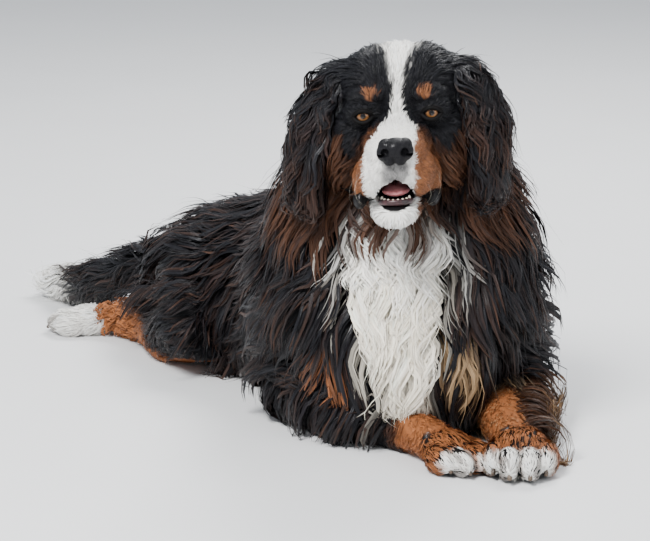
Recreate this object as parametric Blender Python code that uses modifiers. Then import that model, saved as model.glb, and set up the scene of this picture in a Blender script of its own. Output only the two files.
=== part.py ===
"""A life-size Bernese mountain dog, lying on the floor with its head up.

The dog faces -Y, its left side is +X and its hindquarters swing round to -X.
Lengths are metres. The origin is on the floor under the brisket.
"""

import math
import random

import bmesh
import bpy
import numpy as np
from mathutils import Matrix, Vector
from mathutils.bvhtree import BVHTree

UP = Vector((0, 0, 1))
ACROSS = Vector((1, 0, 0))
WAY_OUT = Vector((0.13, 0.29, 0.95)).normalized()

# Clearances, and how far the dense core of the coat lies under the tips of its locks
PART_GAP = 0.0004
LOCK_GAP = 0.0004
BODY_CORE = 0.020
LEG_CORE = 0.010
TAIL_CORE = 0.012
EAR_CORE = 0.005
SLIVER_AREA = 1e-9
SHARPEST = 0.25
DRAWN_IN = 0.00003
SLIVER = 0.000006

# A node whose locks fuse badly is tried again with them moved by a hair
TRIES = 4
NUDGE = 0.0002
NARROWED = 0.99
ROUNDINGS = (0.0000001, 0.000001)
OVERLAP = 0.000000000005
SMOOTH_NODES = ("hindleg_left",)
FLOOR_SIZE = 3.0
SEED = 55

# Locks: rings along each, depth of the root, lowest height, and the widths of root,
# belly and the share lost toward the tip
LOCK_RINGS = 5
LOCK_SUNK = 0.006
LOCK_FLOOR = 0.0015
COVERED = 0.030
LOCK_SHAPE = (0.45, 1.00, 0.75)

# Torso: centre, half width and half height of the coat, from brisket to buttocks
TORSO = [
    (0.015, -0.110, 0.170, 0.060, 0.075),
    (0.015, -0.085, 0.165, 0.120, 0.125),
    (0.015, -0.030, 0.160, 0.165, 0.185),
    (0.010, 0.050, 0.160, 0.190, 0.205),
    (-0.005, 0.135, 0.155, 0.195, 0.205),
    (-0.045, 0.230, 0.140, 0.185, 0.187),
    (-0.105, 0.320, 0.122, 0.170, 0.164),
    (-0.175, 0.395, 0.110, 0.160, 0.148),
    (-0.245, 0.455, 0.105, 0.140, 0.126),
    (-0.300, 0.500, 0.105, 0.100, 0.100),
    (-0.330, 0.525, 0.105, 0.050, 0.055),
]

# The station where the torso is parted from the rump
RUMP_FROM = 6

# Neck, from inside the head down into the shoulders
NECK = [
    (0.000, -0.050, 0.470, 0.070, 0.060),
    (0.000, -0.025, 0.430, 0.108, 0.090),
    (0.003, 0.000, 0.380, 0.138, 0.112),
    (0.008, 0.020, 0.320, 0.165, 0.135),
    (0.012, 0.030, 0.260, 0.182, 0.145),
    (0.012, 0.035, 0.200, 0.165, 0.130),
]

# Head, in its own frame: origin between the eyes, -Y forward
HEAD_PLACE = Vector((0.000, -0.165, 0.471))
HEAD_YAW = math.radians(-3.0)
HEAD_ROLL = math.radians(-3.5)
HEAD_PITCH = math.radians(0.5)
HEAD_LEAN = 0.06
EYE_RADIUS = 0.0125
LID_THICK = 0.0018
EYE_CENTRE = Vector((0.044, -0.003, 0.000))

# Legs: centre line with half width and half height
FORELEG_LEFT = [
    (0.110, 0.060, 0.180, 0.070, 0.070),
    (0.142, 0.060, 0.110, 0.062, 0.062),
    (0.156, 0.035, 0.050, 0.052, 0.052),
    (0.148, -0.045, 0.038, 0.042, 0.042),
    (0.150, -0.120, 0.034, 0.036, 0.037),
    (0.157, -0.168, 0.031, 0.036, 0.034),
]
FORELEG_RIGHT = [
    (-0.080, 0.090, 0.180, 0.075, 0.075),
    (-0.125, 0.085, 0.110, 0.066, 0.066),
    (-0.135, 0.060, 0.050, 0.052, 0.052),
    (-0.078, -0.015, 0.040, 0.046, 0.046),
    (-0.014, -0.058, 0.035, 0.040, 0.040),
    (0.026, -0.105, 0.031, 0.035, 0.036),
    (0.058, -0.155, 0.028, 0.034, 0.032),
]
PAW_LEFT = (0.161, -0.200, math.radians(-3), 1.10)
PAW_RIGHT = (0.078, -0.183, math.radians(31), 0.95)

HINDLEG_RIGHT = [
    (-0.215, 0.440, 0.150, 0.075, 0.075),
    (-0.265, 0.370, 0.110, 0.090, 0.080),
    (-0.275, 0.315, 0.062, 0.070, 0.068),
    (-0.310, 0.400, 0.040, 0.058, 0.056),
    (-0.345, 0.480, 0.036, 0.045, 0.046),
    (-0.395, 0.530, 0.030, 0.032, 0.034),
    (-0.435, 0.545, 0.026, 0.030, 0.030),
]
HINDLEG_LEFT = [
    (-0.160, 0.480, 0.130, 0.070, 0.075),
    (-0.070, 0.455, 0.095, 0.080, 0.085),
    (0.005, 0.395, 0.055, 0.062, 0.064),
    (-0.020, 0.450, 0.034, 0.046, 0.044),
    (-0.075, 0.510, 0.030, 0.036, 0.036),
    (-0.060, 0.545, 0.026, 0.030, 0.030),
    (-0.005, 0.525, 0.024, 0.030, 0.030),
]
HINDPAW_RIGHT = (-0.472, 0.553, math.radians(-105), 0.85)
HINDPAW_LEFT = (0.030, 0.502, math.radians(60), 0.85)

TAIL = [
    (-0.295, 0.490, 0.150, 0.040, 0.040),
    (-0.350, 0.545, 0.120, 0.040, 0.038),
    (-0.400, 0.610, 0.080, 0.044, 0.042),
    (-0.450, 0.680, 0.048, 0.044, 0.042),
    (-0.500, 0.745, 0.034, 0.036, 0.034),
    (-0.540, 0.800, 0.022, 0.018, 0.018),
]

# Ear, for the left side; the right one mirrors it. Half breadth, then half thickness
EAR = [
    (0.062, 0.066, 0.050, 0.024, 0.012),
    (0.086, 0.062, 0.044, 0.037, 0.014),
    (0.107, 0.058, 0.008, 0.045, 0.014),
    (0.117, 0.054, -0.040, 0.048, 0.013),
    (0.119, 0.048, -0.090, 0.040, 0.013),
    (0.114, 0.044, -0.128, 0.022, 0.011),
]
EAR_BREADTH = Vector((0.62, 0.78, 0)).normalized()

# Locks by node: length, width, thickness, height of the tips, sway, waves and spacing
COATS = {
    "head": {"length": 0.080, "wide": 0.030, "thick": 0.006, "rise": 0.011, "wave": 0.004,
             "waves": 0.8, "space": 0.065},
    "ear": {"length": 0.095, "wide": 0.032, "thick": 0.006, "rise": 0.010, "wave": 0.006,
            "waves": 1.0, "space": 0.050},
    "neck": {"length": 0.145, "wide": 0.044, "thick": 0.008, "rise": 0.020, "wave": 0.009,
             "waves": 1.1, "space": 0.066},
    "torso": {"length": 0.165, "wide": 0.054, "thick": 0.008, "rise": 0.020, "wave": 0.009,
              "waves": 1.0, "space": 0.092},
    "rump": {"length": 0.150, "wide": 0.050, "thick": 0.008, "rise": 0.018, "wave": 0.008,
             "waves": 0.9, "space": 0.090},
    "foreleg": {"length": 0.100, "wide": 0.034, "thick": 0.007, "rise": 0.012, "wave": 0.005,
                "waves": 0.8, "space": 0.056},
    "hindleg": {"length": 0.110, "wide": 0.038, "thick": 0.007, "rise": 0.012, "wave": 0.005,
                "waves": 0.8, "space": 0.060},
    "tail": {"length": 0.125, "wide": 0.034, "thick": 0.008, "rise": 0.014, "wave": 0.006,
             "waves": 0.8, "space": 0.058},
}

# Colour and roughness by the first letters of a part's name
FINISHES = {
    "coat": ((0.012, 0.011, 0.012), 0.60),
    "eye": ((0.120, 0.050, 0.015), 0.10),
    "forepaw": ((0.750, 0.700, 0.620), 0.70),
    "hindpaw": ((0.750, 0.700, 0.620), 0.70),
    "jaw": ((0.780, 0.740, 0.680), 0.70),
    "lower_teeth": ((0.800, 0.740, 0.620), 0.25),
    "nose": ((0.015, 0.014, 0.015), 0.35),
    "tongue": ((0.600, 0.220, 0.220), 0.30),
}


def mesh_object(name, vertices, faces):
    """Makes a linked mesh object from points and faces."""
    mesh = bpy.data.meshes.new(name)
    mesh.from_pydata(vertices, [], faces)
    obj = bpy.data.objects.new(name, mesh)
    bpy.context.scene.collection.objects.link(obj)
    return obj


def tube(stations, across=None, inset=0.0, sides=14, least=0.004):
    """A closed loft of elliptical sections, each square to the line of centres."""
    centres = [Vector(s[:3]) for s in stations]
    vertices = []
    for i, (_, _, _, wide, high) in enumerate(stations):
        ahead = centres[min(i + 1, len(centres) - 1)]
        along = (ahead - centres[max(i - 1, 0)]).normalized()
        side = across.copy() if across else along.cross(UP).normalized()
        lift = side.cross(along).normalized()
        wide = max(wide - inset, least)
        high = max(high - inset, least)
        for k in range(sides):
            turn = 2 * math.pi * k / sides
            offset = side * wide * math.cos(turn) + lift * high * math.sin(turn)
            vertices.append(centres[i] + offset)
    faces = []
    for i in range(len(stations) - 1):
        for k in range(sides):
            a, b = i * sides + k, i * sides + (k + 1) % sides
            faces.append((a, b, b + sides, a + sides))
    faces.append(tuple(reversed(range(sides))))
    last = (len(stations) - 1) * sides
    faces.append(tuple(last + k for k in range(sides)))
    obj = mesh_object("tube", vertices, faces)
    face_out(obj)
    return obj


def face_out(obj):
    """Turns every face of a closed mesh outwards."""
    work = bmesh.new()
    work.from_mesh(obj.data)
    bmesh.ops.recalc_face_normals(work, faces=work.faces)
    work.to_mesh(obj.data)
    work.free()


def ball(centre, radii, inset=0.0, turn=None, detail=(16, 10)):
    """An ellipsoid of level rings between two poles."""
    around, rings = detail
    sizes = [max(r - inset, 0.003) for r in radii]
    vertices = [Vector((0, 0, sizes[2])), Vector((0, 0, -sizes[2]))]
    for i in range(1, rings):
        fall = math.pi * i / rings
        for k in range(around):
            yaw = 2 * math.pi * k / around
            x, y = math.sin(fall) * math.cos(yaw), math.sin(fall) * math.sin(yaw)
            vertices.append(Vector((sizes[0] * x, sizes[1] * y, sizes[2] * math.cos(fall))))
    faces = []
    last = 2 + (rings - 2) * around
    for k in range(around):
        beside = (k + 1) % around
        faces.append((0, 2 + k, 2 + beside))
        faces.append((1, last + beside, last + k))
        for i in range(rings - 2):
            a, b = 2 + i * around + k, 2 + i * around + beside
            faces.append((a, a + around, b + around, b))
    if turn:
        vertices = [turn @ v for v in vertices]
    return mesh_object("ball", [Vector(centre) + v for v in vertices], faces)


def evaluated_copy(obj, name):
    """A new object holding the mesh of an object with its modifiers applied."""
    bpy.context.view_layer.update()
    graph = bpy.context.evaluated_depsgraph_get()
    mesh = bpy.data.meshes.new_from_object(obj.evaluated_get(graph))
    mesh.transform(obj.matrix_world)
    made = bpy.data.objects.new(name, mesh)
    bpy.context.scene.collection.objects.link(made)
    return made


def remove(objects):
    """Deletes helper objects."""
    for obj in objects:
        bpy.data.objects.remove(obj)


def joined(pieces, name):
    """Several meshes as the loose shells of one object."""
    work = bmesh.new()
    for piece in pieces:
        first = len(work.verts)
        work.from_mesh(piece.data)
        work.verts.ensure_lookup_table()
        bmesh.ops.transform(work, matrix=piece.matrix_world, verts=work.verts[first:])
    mesh = bpy.data.meshes.new(name)
    work.to_mesh(mesh)
    work.free()
    obj = bpy.data.objects.new(name, mesh)
    bpy.context.scene.collection.objects.link(obj)
    remove(pieces)
    return obj


def flesh(name, pieces, voxel, faces, smoothing=6):
    """One soft body from overlapping forms: remeshed, smoothed and thinned."""
    rough = joined(pieces, name + "_rough")
    remesh = rough.modifiers.new("Remesh", "REMESH")
    remesh.mode = "VOXEL"
    remesh.voxel_size = voxel
    smooth = rough.modifiers.new("Smooth", "SMOOTH")
    smooth.factor = 0.5
    smooth.iterations = smoothing
    dense = evaluated_copy(rough, name + "_dense")
    thin = dense.modifiers.new("Decimate", "DECIMATE")
    triangles = sum(len(p.vertices) - 2 for p in dense.data.polygons)
    thin.ratio = min(1.0, faces / triangles)
    made = evaluated_copy(dense, name)
    remove([rough, dense])
    return made


def boolean(obj, others, operation):
    """Joins other closed meshes to an object, or cuts them from it."""
    if not others:
        return obj
    tools = bpy.data.collections.new("tools")
    bpy.context.scene.collection.children.link(tools)
    for other in others:
        tools.objects.link(other)
    step = obj.modifiers.new("Boolean", "BOOLEAN")
    step.operation = operation
    step.solver = "MANIFOLD"
    step.operand_type = "COLLECTION"
    step.collection = tools
    name = obj.name
    obj.name = name + "_before"
    made = evaluated_copy(obj, name)
    bpy.data.collections.remove(tools)
    remove([obj])
    return made


def fans(vert):
    """The faces at a corner, in groups that hang together across sound edges."""
    left = sorted(vert.link_faces, key=lambda face: face.index)
    groups = []
    while left:
        group = [left.pop(0)]
        for face in group:
            for edge in face.edges:
                if vert in edge.verts and len(edge.link_faces) == 2:
                    group += [f for f in edge.link_faces if f in left]
                    left = [f for f in left if f not in edge.link_faces]
        groups.append(group)
    return groups


def parted(work, name):
    """A mesh of a body's faces in which no two sheets share a corner."""
    corners = [vert.co.copy() for vert in work.verts]
    faces = {face: [vert.index for vert in face.verts] for face in work.faces}
    doubtful = {v for e in work.edges if len(e.link_faces) != 2 for v in e.verts}
    for vert in sorted(doubtful, key=lambda v: v.index):
        groups = fans(vert)
        for group in groups if len(groups) > 1 else []:
            inward = -sum((face.normal for face in group), Vector()).normalized()
            corners.append(vert.co + inward * DRAWN_IN)
            for face in group:
                faces[face] = [len(corners) - 1 if k == vert.index else k for k in faces[face]]
    used = sorted({k for face in faces.values() for k in face})
    place = {old: new for new, old in enumerate(used)}
    mesh = bpy.data.meshes.new(name)
    mesh.from_pydata([corners[k] for k in used], [],
                     [[place[k] for k in faces[face]] for face in work.faces])
    return mesh


def without_slivers(obj):
    """Closes up edges shorter than the eye or the solids' files can hold."""
    work = bmesh.new()
    work.from_mesh(obj.data)
    bmesh.ops.dissolve_degenerate(work, dist=SLIVER, edges=work.edges)
    work.to_mesh(obj.data)
    work.free()
    return obj


def largest(obj):
    """Keeps only the closed surface of an object that holds the most."""
    work = bmesh.new()
    work.from_mesh(obj.data)
    bmesh.ops.triangulate(work, faces=work.faces)
    work.faces.index_update()
    work.faces.ensure_lookup_table()
    shell_of = [None] * len(work.faces)
    volumes = []
    for start in work.faces:
        if shell_of[start.index] is not None:
            continue
        shell_of[start.index] = len(volumes)
        shell = [start]
        for face in shell:
            for edge in face.edges:
                for other in edge.link_faces if len(edge.link_faces) == 2 else ():
                    if shell_of[other.index] is None:
                        shell_of[other.index] = len(volumes)
                        shell.append(other)
        corners = [[vert.co for vert in face.verts] for face in shell]
        volumes.append(sum(a.dot(b.cross(c)) for a, b, c in corners))
    best = volumes.index(max(volumes))
    spare = [face for face in work.faces if shell_of[face.index] != best]
    bmesh.ops.delete(work, geom=spare, context="FACES")
    work.normal_update()
    work.verts.index_update()
    work.faces.index_update()
    obj.data = parted(work, obj.name)
    work.free()
    return obj


def swollen(obj, by):
    """A copy with every face moved out by a clearance, to cut a neighbour clear of it."""
    made = evaluated_copy(obj, obj.name + "_keep_out")
    work = bmesh.new()
    work.from_mesh(made.data)
    bmesh.ops.triangulate(work, faces=work.faces)
    work.normal_update()
    moves = []
    for vert in work.verts:
        sound = [f.normal for f in vert.link_faces if f.calc_area() > SLIVER_AREA]
        least = min((vert.normal.dot(n) for n in sound), default=1.0)
        moves.append(vert.normal * by / max(least, SHARPEST))
    for vert, move in zip(work.verts, moves):
        vert.co += move
    work.to_mesh(made.data)
    work.free()
    return made


def cut_clear(obj, neighbours, gap=PART_GAP):
    """Cuts an object clear of its neighbours and keeps its main body."""
    keep_outs = [swollen(n, gap) for n in neighbours]
    made = boolean(obj, keep_outs, "DIFFERENCE")
    remove(keep_outs)
    return largest(made)


def floor_slab():
    """A block whose top is the floor, to cut flats where the dog rests."""
    bpy.ops.mesh.primitive_cube_add(size=1, location=(0, 0, -0.5 * FLOOR_SIZE))
    slab = bpy.context.active_object
    slab.scale = (FLOOR_SIZE,) * 3
    return evaluated_slab(slab)


def evaluated_slab(slab):
    """The floor block with its scale applied."""
    made = evaluated_copy(slab, "floor_slab")
    remove([slab])
    return made


def rest_on_floor(obj):
    """Cuts away what lies below the floor."""
    slab = floor_slab()
    made = boolean(obj, [slab], "DIFFERENCE")
    remove([slab])
    return largest(made)


def head_matrix():
    """From the head's own frame to the dog's."""
    turn = Matrix.Rotation(HEAD_YAW, 4, "Z") @ Matrix.Rotation(HEAD_ROLL, 4, "Y")
    lean = Matrix.Identity(4)
    lean[0][2] = HEAD_LEAN
    pitch = Matrix.Rotation(HEAD_PITCH, 4, "X")
    return Matrix.Translation(HEAD_PLACE) @ turn @ pitch @ lean


def placed(obj, matrix):
    """Moves a mesh by a matrix, in its vertices."""
    obj.data.transform(matrix)
    return obj


def both_sides(centre, radii, **options):
    """A ball and its mirror image across the head's middle."""
    x, y, z = centre
    return [ball((side * x, y, z), radii, **options) for side in (-1, 1)]


def build_head():
    """Skull, brows, cheeks, muzzle and hanging lips, with sockets and a mouth."""
    forms = [ball((0, 0.074, 0.014), (0.083, 0.084, 0.066))]
    forms += both_sides((0.030, 0.062, 0.022), (0.050, 0.066, 0.058))
    forms += both_sides((0.037, 0.012, 0.022), (0.029, 0.027, 0.018))
    forms += both_sides((0.043, 0.012, 0.002), (0.027, 0.030, 0.022))
    forms.append(ball((0, 0.018, 0.002), (0.028, 0.030, 0.030)))
    forms += both_sides((0.050, 0.045, -0.030), (0.040, 0.053, 0.046))
    forms += both_sides((0.056, 0.064, -0.062), (0.038, 0.052, 0.044))
    muzzle = [
        (0, 0.045, -0.030, 0.052, 0.046),
        (0, 0.000, -0.035, 0.046, 0.038),
        (0, -0.040, -0.039, 0.043, 0.035),
        (0, -0.075, -0.040, 0.039, 0.032),
        (0, -0.096, -0.040, 0.031, 0.026),
    ]
    forms.append(tube(muzzle, across=ACROSS, sides=18))
    forms += both_sides((0.029, -0.046, -0.068), (0.023, 0.046, 0.032))
    forms += both_sides((0.016, -0.082, -0.056), (0.021, 0.019, 0.021))
    forms += both_sides((0.038, -0.010, -0.082), (0.019, 0.036, 0.029))
    head = flesh("head", forms, voxel=0.004, faces=1050, smoothing=4)
    openings = [ball((0, -0.052, -0.088), (0.024, 0.054, 0.021), detail=(12, 8))]
    openings += both_sides((EYE_CENTRE.x, -0.022, 0), (0.0108, 0.0200, 0.0058), detail=(10, 5))
    head = boolean(head, openings, "DIFFERENCE")
    remove(openings)
    placed(head, head_matrix())
    return largest(head)


def build_eye(side, name):
    """An eyeball, deep in its socket."""
    centre = (side * EYE_CENTRE.x, EYE_CENTRE.y, EYE_CENTRE.z)
    eye = ball(centre, (EYE_RADIUS,) * 3, detail=(12, 8))
    eye.name = name
    return placed(eye, head_matrix())


def eyelid(side, lift):
    """An upper or a lower lid: a thin arc over the eyeball."""
    stations = []
    rise = 0.0064 if lift > 0 else 0.0056
    reach = EYE_RADIUS + LID_THICK + 2 * PART_GAP
    for k in range(9):
        turn = math.radians(side * (-66 + 16.5 * k))
        x = reach * math.sin(turn)
        z = lift * rise * math.cos(turn * 1.36)
        y = -math.sqrt(reach**2 - x**2 - z**2)
        spot = (side * EYE_CENTRE.x + x, EYE_CENTRE.y + y, EYE_CENTRE.z + z)
        stations.append((*spot, LID_THICK, LID_THICK))
    return placed(tube(stations, sides=6, least=LID_THICK), head_matrix())


def build_nose():
    """The nose leather with its two nostrils."""
    forms = [ball((0, -0.100, -0.027), (0.021, 0.016, 0.017))]
    forms += both_sides((0.0135, -0.101, -0.028), (0.0115, 0.013, 0.014))
    forms.append(ball((0, -0.099, -0.042), (0.009, 0.011, 0.010)))
    nose = flesh("nose", forms, voxel=0.0022, faces=220, smoothing=3)
    nostrils = both_sides((0.0128, -0.118, -0.029), (0.0058, 0.0110, 0.0050), detail=(8, 4))
    nose = boolean(nose, nostrils, "DIFFERENCE")
    remove(nostrils)
    return largest(placed(nose, head_matrix()))


def build_jaw():
    """The lower jaw and chin."""
    jaw = [
        (0, 0.045, -0.100, 0.048, 0.034),
        (0, 0.000, -0.112, 0.040, 0.027),
        (0, -0.045, -0.119, 0.034, 0.021),
        (0, -0.068, -0.120, 0.028, 0.018),
        (0, -0.080, -0.119, 0.016, 0.012),
    ]
    obj = flesh("jaw", [tube(jaw, across=ACROSS)], voxel=0.004, faces=260, smoothing=2)
    return placed(obj, head_matrix())


def build_tongue():
    """The tongue, lying in the jaw."""
    forms = [ball((0, -0.040, -0.0935), (0.0190, 0.036, 0.0065))]
    obj = flesh("tongue", forms, voxel=0.0022, faces=120, smoothing=2)
    return placed(obj, head_matrix())


def tooth_spot(turn, height):
    """A place on the lower dental arch."""
    return Vector((0.0190 * math.sin(turn), -0.059 - 0.0145 * math.cos(turn), height))


def build_teeth():
    """The lower gum with its six incisors and two canines."""
    arch = [tooth_spot(math.radians(-78 + 26 * k), -0.101) for k in range(7)]
    gum = tube([(*spot, 0.0034, 0.0046) for spot in arch], sides=6)
    gum.name = "lower_teeth"
    heights = [0.0055, 0.0038, 0.0036, 0.0034, 0.0034, 0.0036, 0.0038, 0.0055]
    teeth = []
    for k, height in enumerate(heights):
        spot = tooth_spot(math.radians(-66 + 132 * k / 7), -0.0965)
        teeth.append(ball(spot, (0.0025, 0.0022, height), detail=(5, 4)))
    gum = boolean(gum, teeth, "UNION")
    remove(teeth)
    return placed(largest(gum), head_matrix())


def build_ear(side, name):
    """A hanging ear leather, cupped on its inner face."""
    stations = [(side * x, y, z, wide, thick) for x, y, z, wide, thick in EAR]
    breadth = Vector((side * EAR_BREADTH.x, EAR_BREADTH.y, 0))
    leather = tube(stations, across=breadth, inset=EAR_CORE)
    obj = flesh(name, [leather], voxel=0.005, faces=220, smoothing=3)
    inward = Vector((-side * EAR_BREADTH.y, EAR_BREADTH.x, 0))
    middle = Vector((side * EAR[3][0], EAR[3][1], EAR[3][2]))
    turn = Matrix.Rotation(-side * math.atan2(EAR_BREADTH.x, EAR_BREADTH.y), 3, "Z")
    cup = ball(middle + inward * 0.018, (0.014, 0.026, 0.050), turn=turn, detail=(10, 8))
    obj = boolean(obj, [cup], "DIFFERENCE")
    remove([cup])
    return placed(largest(obj), head_matrix())


def build_torso():
    """Brisket, ribcage, loin and rump."""
    forms = [tube(TORSO, inset=BODY_CORE, sides=20)]
    forms.append(ball((-0.100, 0.070, 0.150), (0.100, 0.110, 0.160), inset=BODY_CORE))
    forms.append(ball((0.125, 0.060, 0.150), (0.085, 0.110, 0.160), inset=BODY_CORE))
    return rest_on_floor(flesh("torso", forms, voxel=0.012, faces=620, smoothing=8))


def build_neck():
    """The neck, under its ruff."""
    forms = [tube(NECK, across=ACROSS, inset=BODY_CORE, sides=18)]
    return flesh("neck", forms, voxel=0.011, faces=340, smoothing=5)


def build_leg(name, stations, faces=260):
    """A leg lying on the floor."""
    forms = [tube(stations, inset=LEG_CORE * 0.5, sides=14)]
    return rest_on_floor(flesh(name, forms, voxel=0.008, faces=faces, smoothing=5))


def build_paw(name, place):
    """A paw with four toes, resting flat, and its claws."""
    x, y, heading, size = place
    forms = [ball((0, 0.020, 0.024), (0.036, 0.044, 0.028))]
    spots = [(-0.031, -0.006), (-0.012, -0.026), (0.012, -0.026), (0.031, -0.006)]
    for tx, ty in spots:
        forms.append(ball((tx, ty, 0.020), (0.0155, 0.030, 0.020)))
    paw = flesh(name, forms, voxel=0.0045, faces=180, smoothing=3)
    claws = []
    for tx, ty in spots:
        tip = [
            (tx, ty - 0.016, 0.020, 0.0042, 0.0050),
            (tx, ty - 0.027, 0.016, 0.0034, 0.0040),
            (tx, ty - 0.033, 0.009, 0.0010, 0.0010),
        ]
        claws.append(tube(tip, sides=4))
    paw = boolean(paw, claws, "UNION")
    remove(claws)
    turn = Matrix.Translation((x, y, 0)) @ Matrix.Rotation(heading, 4, "Z")
    placed(paw, turn @ Matrix.Scale(size, 4))
    return rest_on_floor(largest(paw))


def build_tail():
    """The tail, laid back along the floor."""
    return rest_on_floor(flesh("tail", [tube(TAIL, inset=TAIL_CORE, sides=12)], 0.008, 200, 4))


class Lock:
    """A flat, tapered lock of hair: its line, and its facing along that line."""

    def __init__(self, points, normals, wide, thick):
        self.points = points
        self.normals = normals
        self.wide = wide
        self.thick = thick

    def solid(self, extra=0.0):
        """The lock as a closed mesh, fattened by a clearance if asked."""
        vertices = []
        last = len(self.points) - 1
        for i, (point, normal) in enumerate(zip(self.points, self.normals)):
            share = i / last
            ahead = self.points[min(i + 1, last)] - self.points[max(i - 1, 0)]
            side = ahead.cross(normal).normalized()
            if i == last:
                vertices.append(point + ahead.normalized() * extra * (1 + 4 * ahead.length / self.thick))
                break
            fill = LOCK_SHAPE[0] + (LOCK_SHAPE[1] - LOCK_SHAPE[0]) * min(share / 0.35, 1)
            fill *= 1 - max(share - 0.45, 0) / 0.55 * LOCK_SHAPE[2]
            half = 0.5 * self.wide * fill
            deep = self.thick * (1 - 0.5 * share)
            half += extra * (1 + 2 * half / deep)
            for across, out in ((half, -0.25 * deep - extra), (0, 0.75 * deep + extra),
                                (-half, -0.25 * deep - extra)):
                corner = point + side * across + normal * out
                corner.z = max(corner.z, LOCK_FLOOR - extra)
                vertices.append(corner)
        faces = [(2, 1, 0)]
        for i in range(last - 1):
            for k in range(3):
                a, b = i * 3 + k, i * 3 + (k + 1) % 3
                faces += [(a, b, b + 3), (a, b + 3, a + 3)]
        ring = (last - 1) * 3
        faces += [(ring + k, ring + (k + 1) % 3, last * 3) for k in range(3)]
        obj = mesh_object("lock", vertices, faces)
        face_out(obj)
        return obj

    def nudge(self):
        """Lifts the lock by a hair and narrows it a little."""
        self.points = [p + n * NUDGE for p, n in zip(self.points, self.normals)]
        self.wide *= NARROWED

    def beside(self, obj):
        """Whether the lock may reach an object."""
        low = Vector(min(v.co[k] for v in obj.data.vertices) for k in range(3))
        high = Vector(max(v.co[k] for v in obj.data.vertices) for k in range(3))
        reach = Vector((COVERED, COVERED, COVERED))
        low, high = low - reach, high + reach
        return any(all(low[k] < p[k] < high[k] for k in range(3)) for p in self.points)


def surface_tree(objects):
    """A search tree over the outer faces of several objects."""
    work = bmesh.new()
    for obj in objects:
        work.from_mesh(obj.data)
    tree = BVHTree.FromBMesh(work)
    work.free()
    return tree


def inside(tree, point):
    """Whether a point is inside a closed body, by the walls met on the way out of it."""
    walls = 0
    spot, _, _, _ = tree.ray_cast(point, WAY_OUT)
    while spot is not None:
        walls += 1
        spot, _, _, _ = tree.ray_cast(spot + WAY_OUT * 0.00001, WAY_OUT)
    return walls % 2 == 1


def grow_lock(tree, root, facing, lie, coat, draw):
    """Runs a lock over the body from a root, along the lie of the coat."""
    length = coat["length"] * draw.uniform(0.85, 1.15)
    wide = coat["wide"] * draw.uniform(0.85, 1.15)
    rise = coat["rise"] * draw.uniform(0.8, 1.15)
    phase = draw.uniform(0, 2 * math.pi)
    point, normal = root.copy(), facing.copy()
    heading = lie(point, normal)
    step = length / (LOCK_RINGS)
    points, normals = [], []
    for k in range(LOCK_RINGS + 1):
        share = k / LOCK_RINGS
        heading = (heading - normal * heading.dot(normal)).normalized()
        side = heading.cross(normal)
        height = -LOCK_SUNK + (LOCK_SUNK + rise) * share**0.34
        sway = coat["wave"] * math.sin(phase + 2 * math.pi * coat["waves"] * share)
        spot = point + normal * height + side * sway * min(share * 2, 1)
        spot.z = max(spot.z, LOCK_FLOOR + 0.4 * coat["thick"])
        points.append(spot)
        normals.append(normal.copy())
        onward = point + heading * step
        found, outward, _, _ = tree.find_nearest(onward)
        normal = (normal * 0.4 + outward * 0.6).normalized()
        point = found
        heading = (heading * 0.6 + lie(point, normal) * 0.4).normalized()
    return Lock(points, normals, wide, coat["thick"])


def scatter(obj, spacing, wanted, blocked, covered, draw):
    """Evenly spread roots on the part of a surface that is wanted, open and uncovered."""
    work = bmesh.new()
    work.from_mesh(obj.data)
    bmesh.ops.triangulate(work, faces=work.faces)
    faces = [f for f in work.faces if f.calc_area() > 0]
    areas = [f.calc_area() for f in faces]
    roots = []
    for face in draw.choices(faces, weights=areas, k=6000):
        u, v = draw.random(), draw.random()
        if u + v > 1:
            u, v = 1 - u, 1 - v
        a, b, c = (vert.co for vert in face.verts)
        spot = a + (b - a) * u + (c - a) * v
        if not wanted(spot, face.normal):
            continue
        if any((spot - other).length < spacing for other, _ in roots):
            continue
        if any((spot - other).length < COVERED for other in covered):
            continue
        if any(inside(tree, spot + face.normal * 0.006) for tree in blocked):
            continue
        roots.append((spot, face.normal.copy()))
    work.free()
    return roots


def give_finish(part):
    """Gives a part a plain material of its own, in the colour of its kind."""
    kind = next((k for k in FINISHES if part.name.startswith(k)), "coat")
    colour, roughness = FINISHES[kind]
    made = bpy.data.materials.new(part.name)
    made.use_nodes = True
    shader = made.node_tree.nodes["Principled BSDF"]
    shader.inputs["Base Color"].default_value = (*colour, 1)
    shader.inputs["Roughness"].default_value = roughness
    part.data.materials.clear()
    part.data.materials.append(made)


def near_line(point, stations):
    """The nearest station of a line of centres, and its place in the line."""
    spots = [Vector(station[:3]) for station in stations]
    index = min(range(len(spots)), key=lambda i: (spots[i] - point).length)
    return spots[index], index


def line_direction(point, stations):
    """The direction of a line of centres beside a point, from its first end."""
    spots = [Vector(station[:3]) for station in stations]
    _, index = near_line(point, stations)
    low, high = max(index - 1, 0), min(index + 1, len(spots) - 1)
    return (spots[high] - spots[low]).normalized()


def lie_torso(point, normal):
    """The body's coat runs back and down, and straight down the chest."""
    back = line_direction(point, TORSO)
    front = min(max((-point.y - 0.0) / 0.08, 0), 1)
    return (back * (0.75 - 0.6 * front) - UP * (0.55 + 0.6 * front)).normalized()


def lie_neck(point, normal):
    """The ruff hangs down, swept back at the sides and over the nape."""
    back = min(max((point.y + 0.02) / 0.10, 0), 1)
    outward = Vector((normal.x, 0, 0))
    return (Vector((0, 0.8 * back, -1)) + outward * 0.35).normalized()


def lie_head(point, normal):
    """From the cheeks back and down, and on the crown straight back."""
    crown = min(max((point.z - HEAD_PLACE.z) / 0.05, 0), 1)
    return Vector((0.3 * normal.x, 0.6 + 0.4 * crown, -1 + crown)).normalized()


def lie_ear(point, normal):
    """Down the ear and a little outward."""
    return Vector((0.25 * normal.x, 0.15, -1)).normalized()


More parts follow.
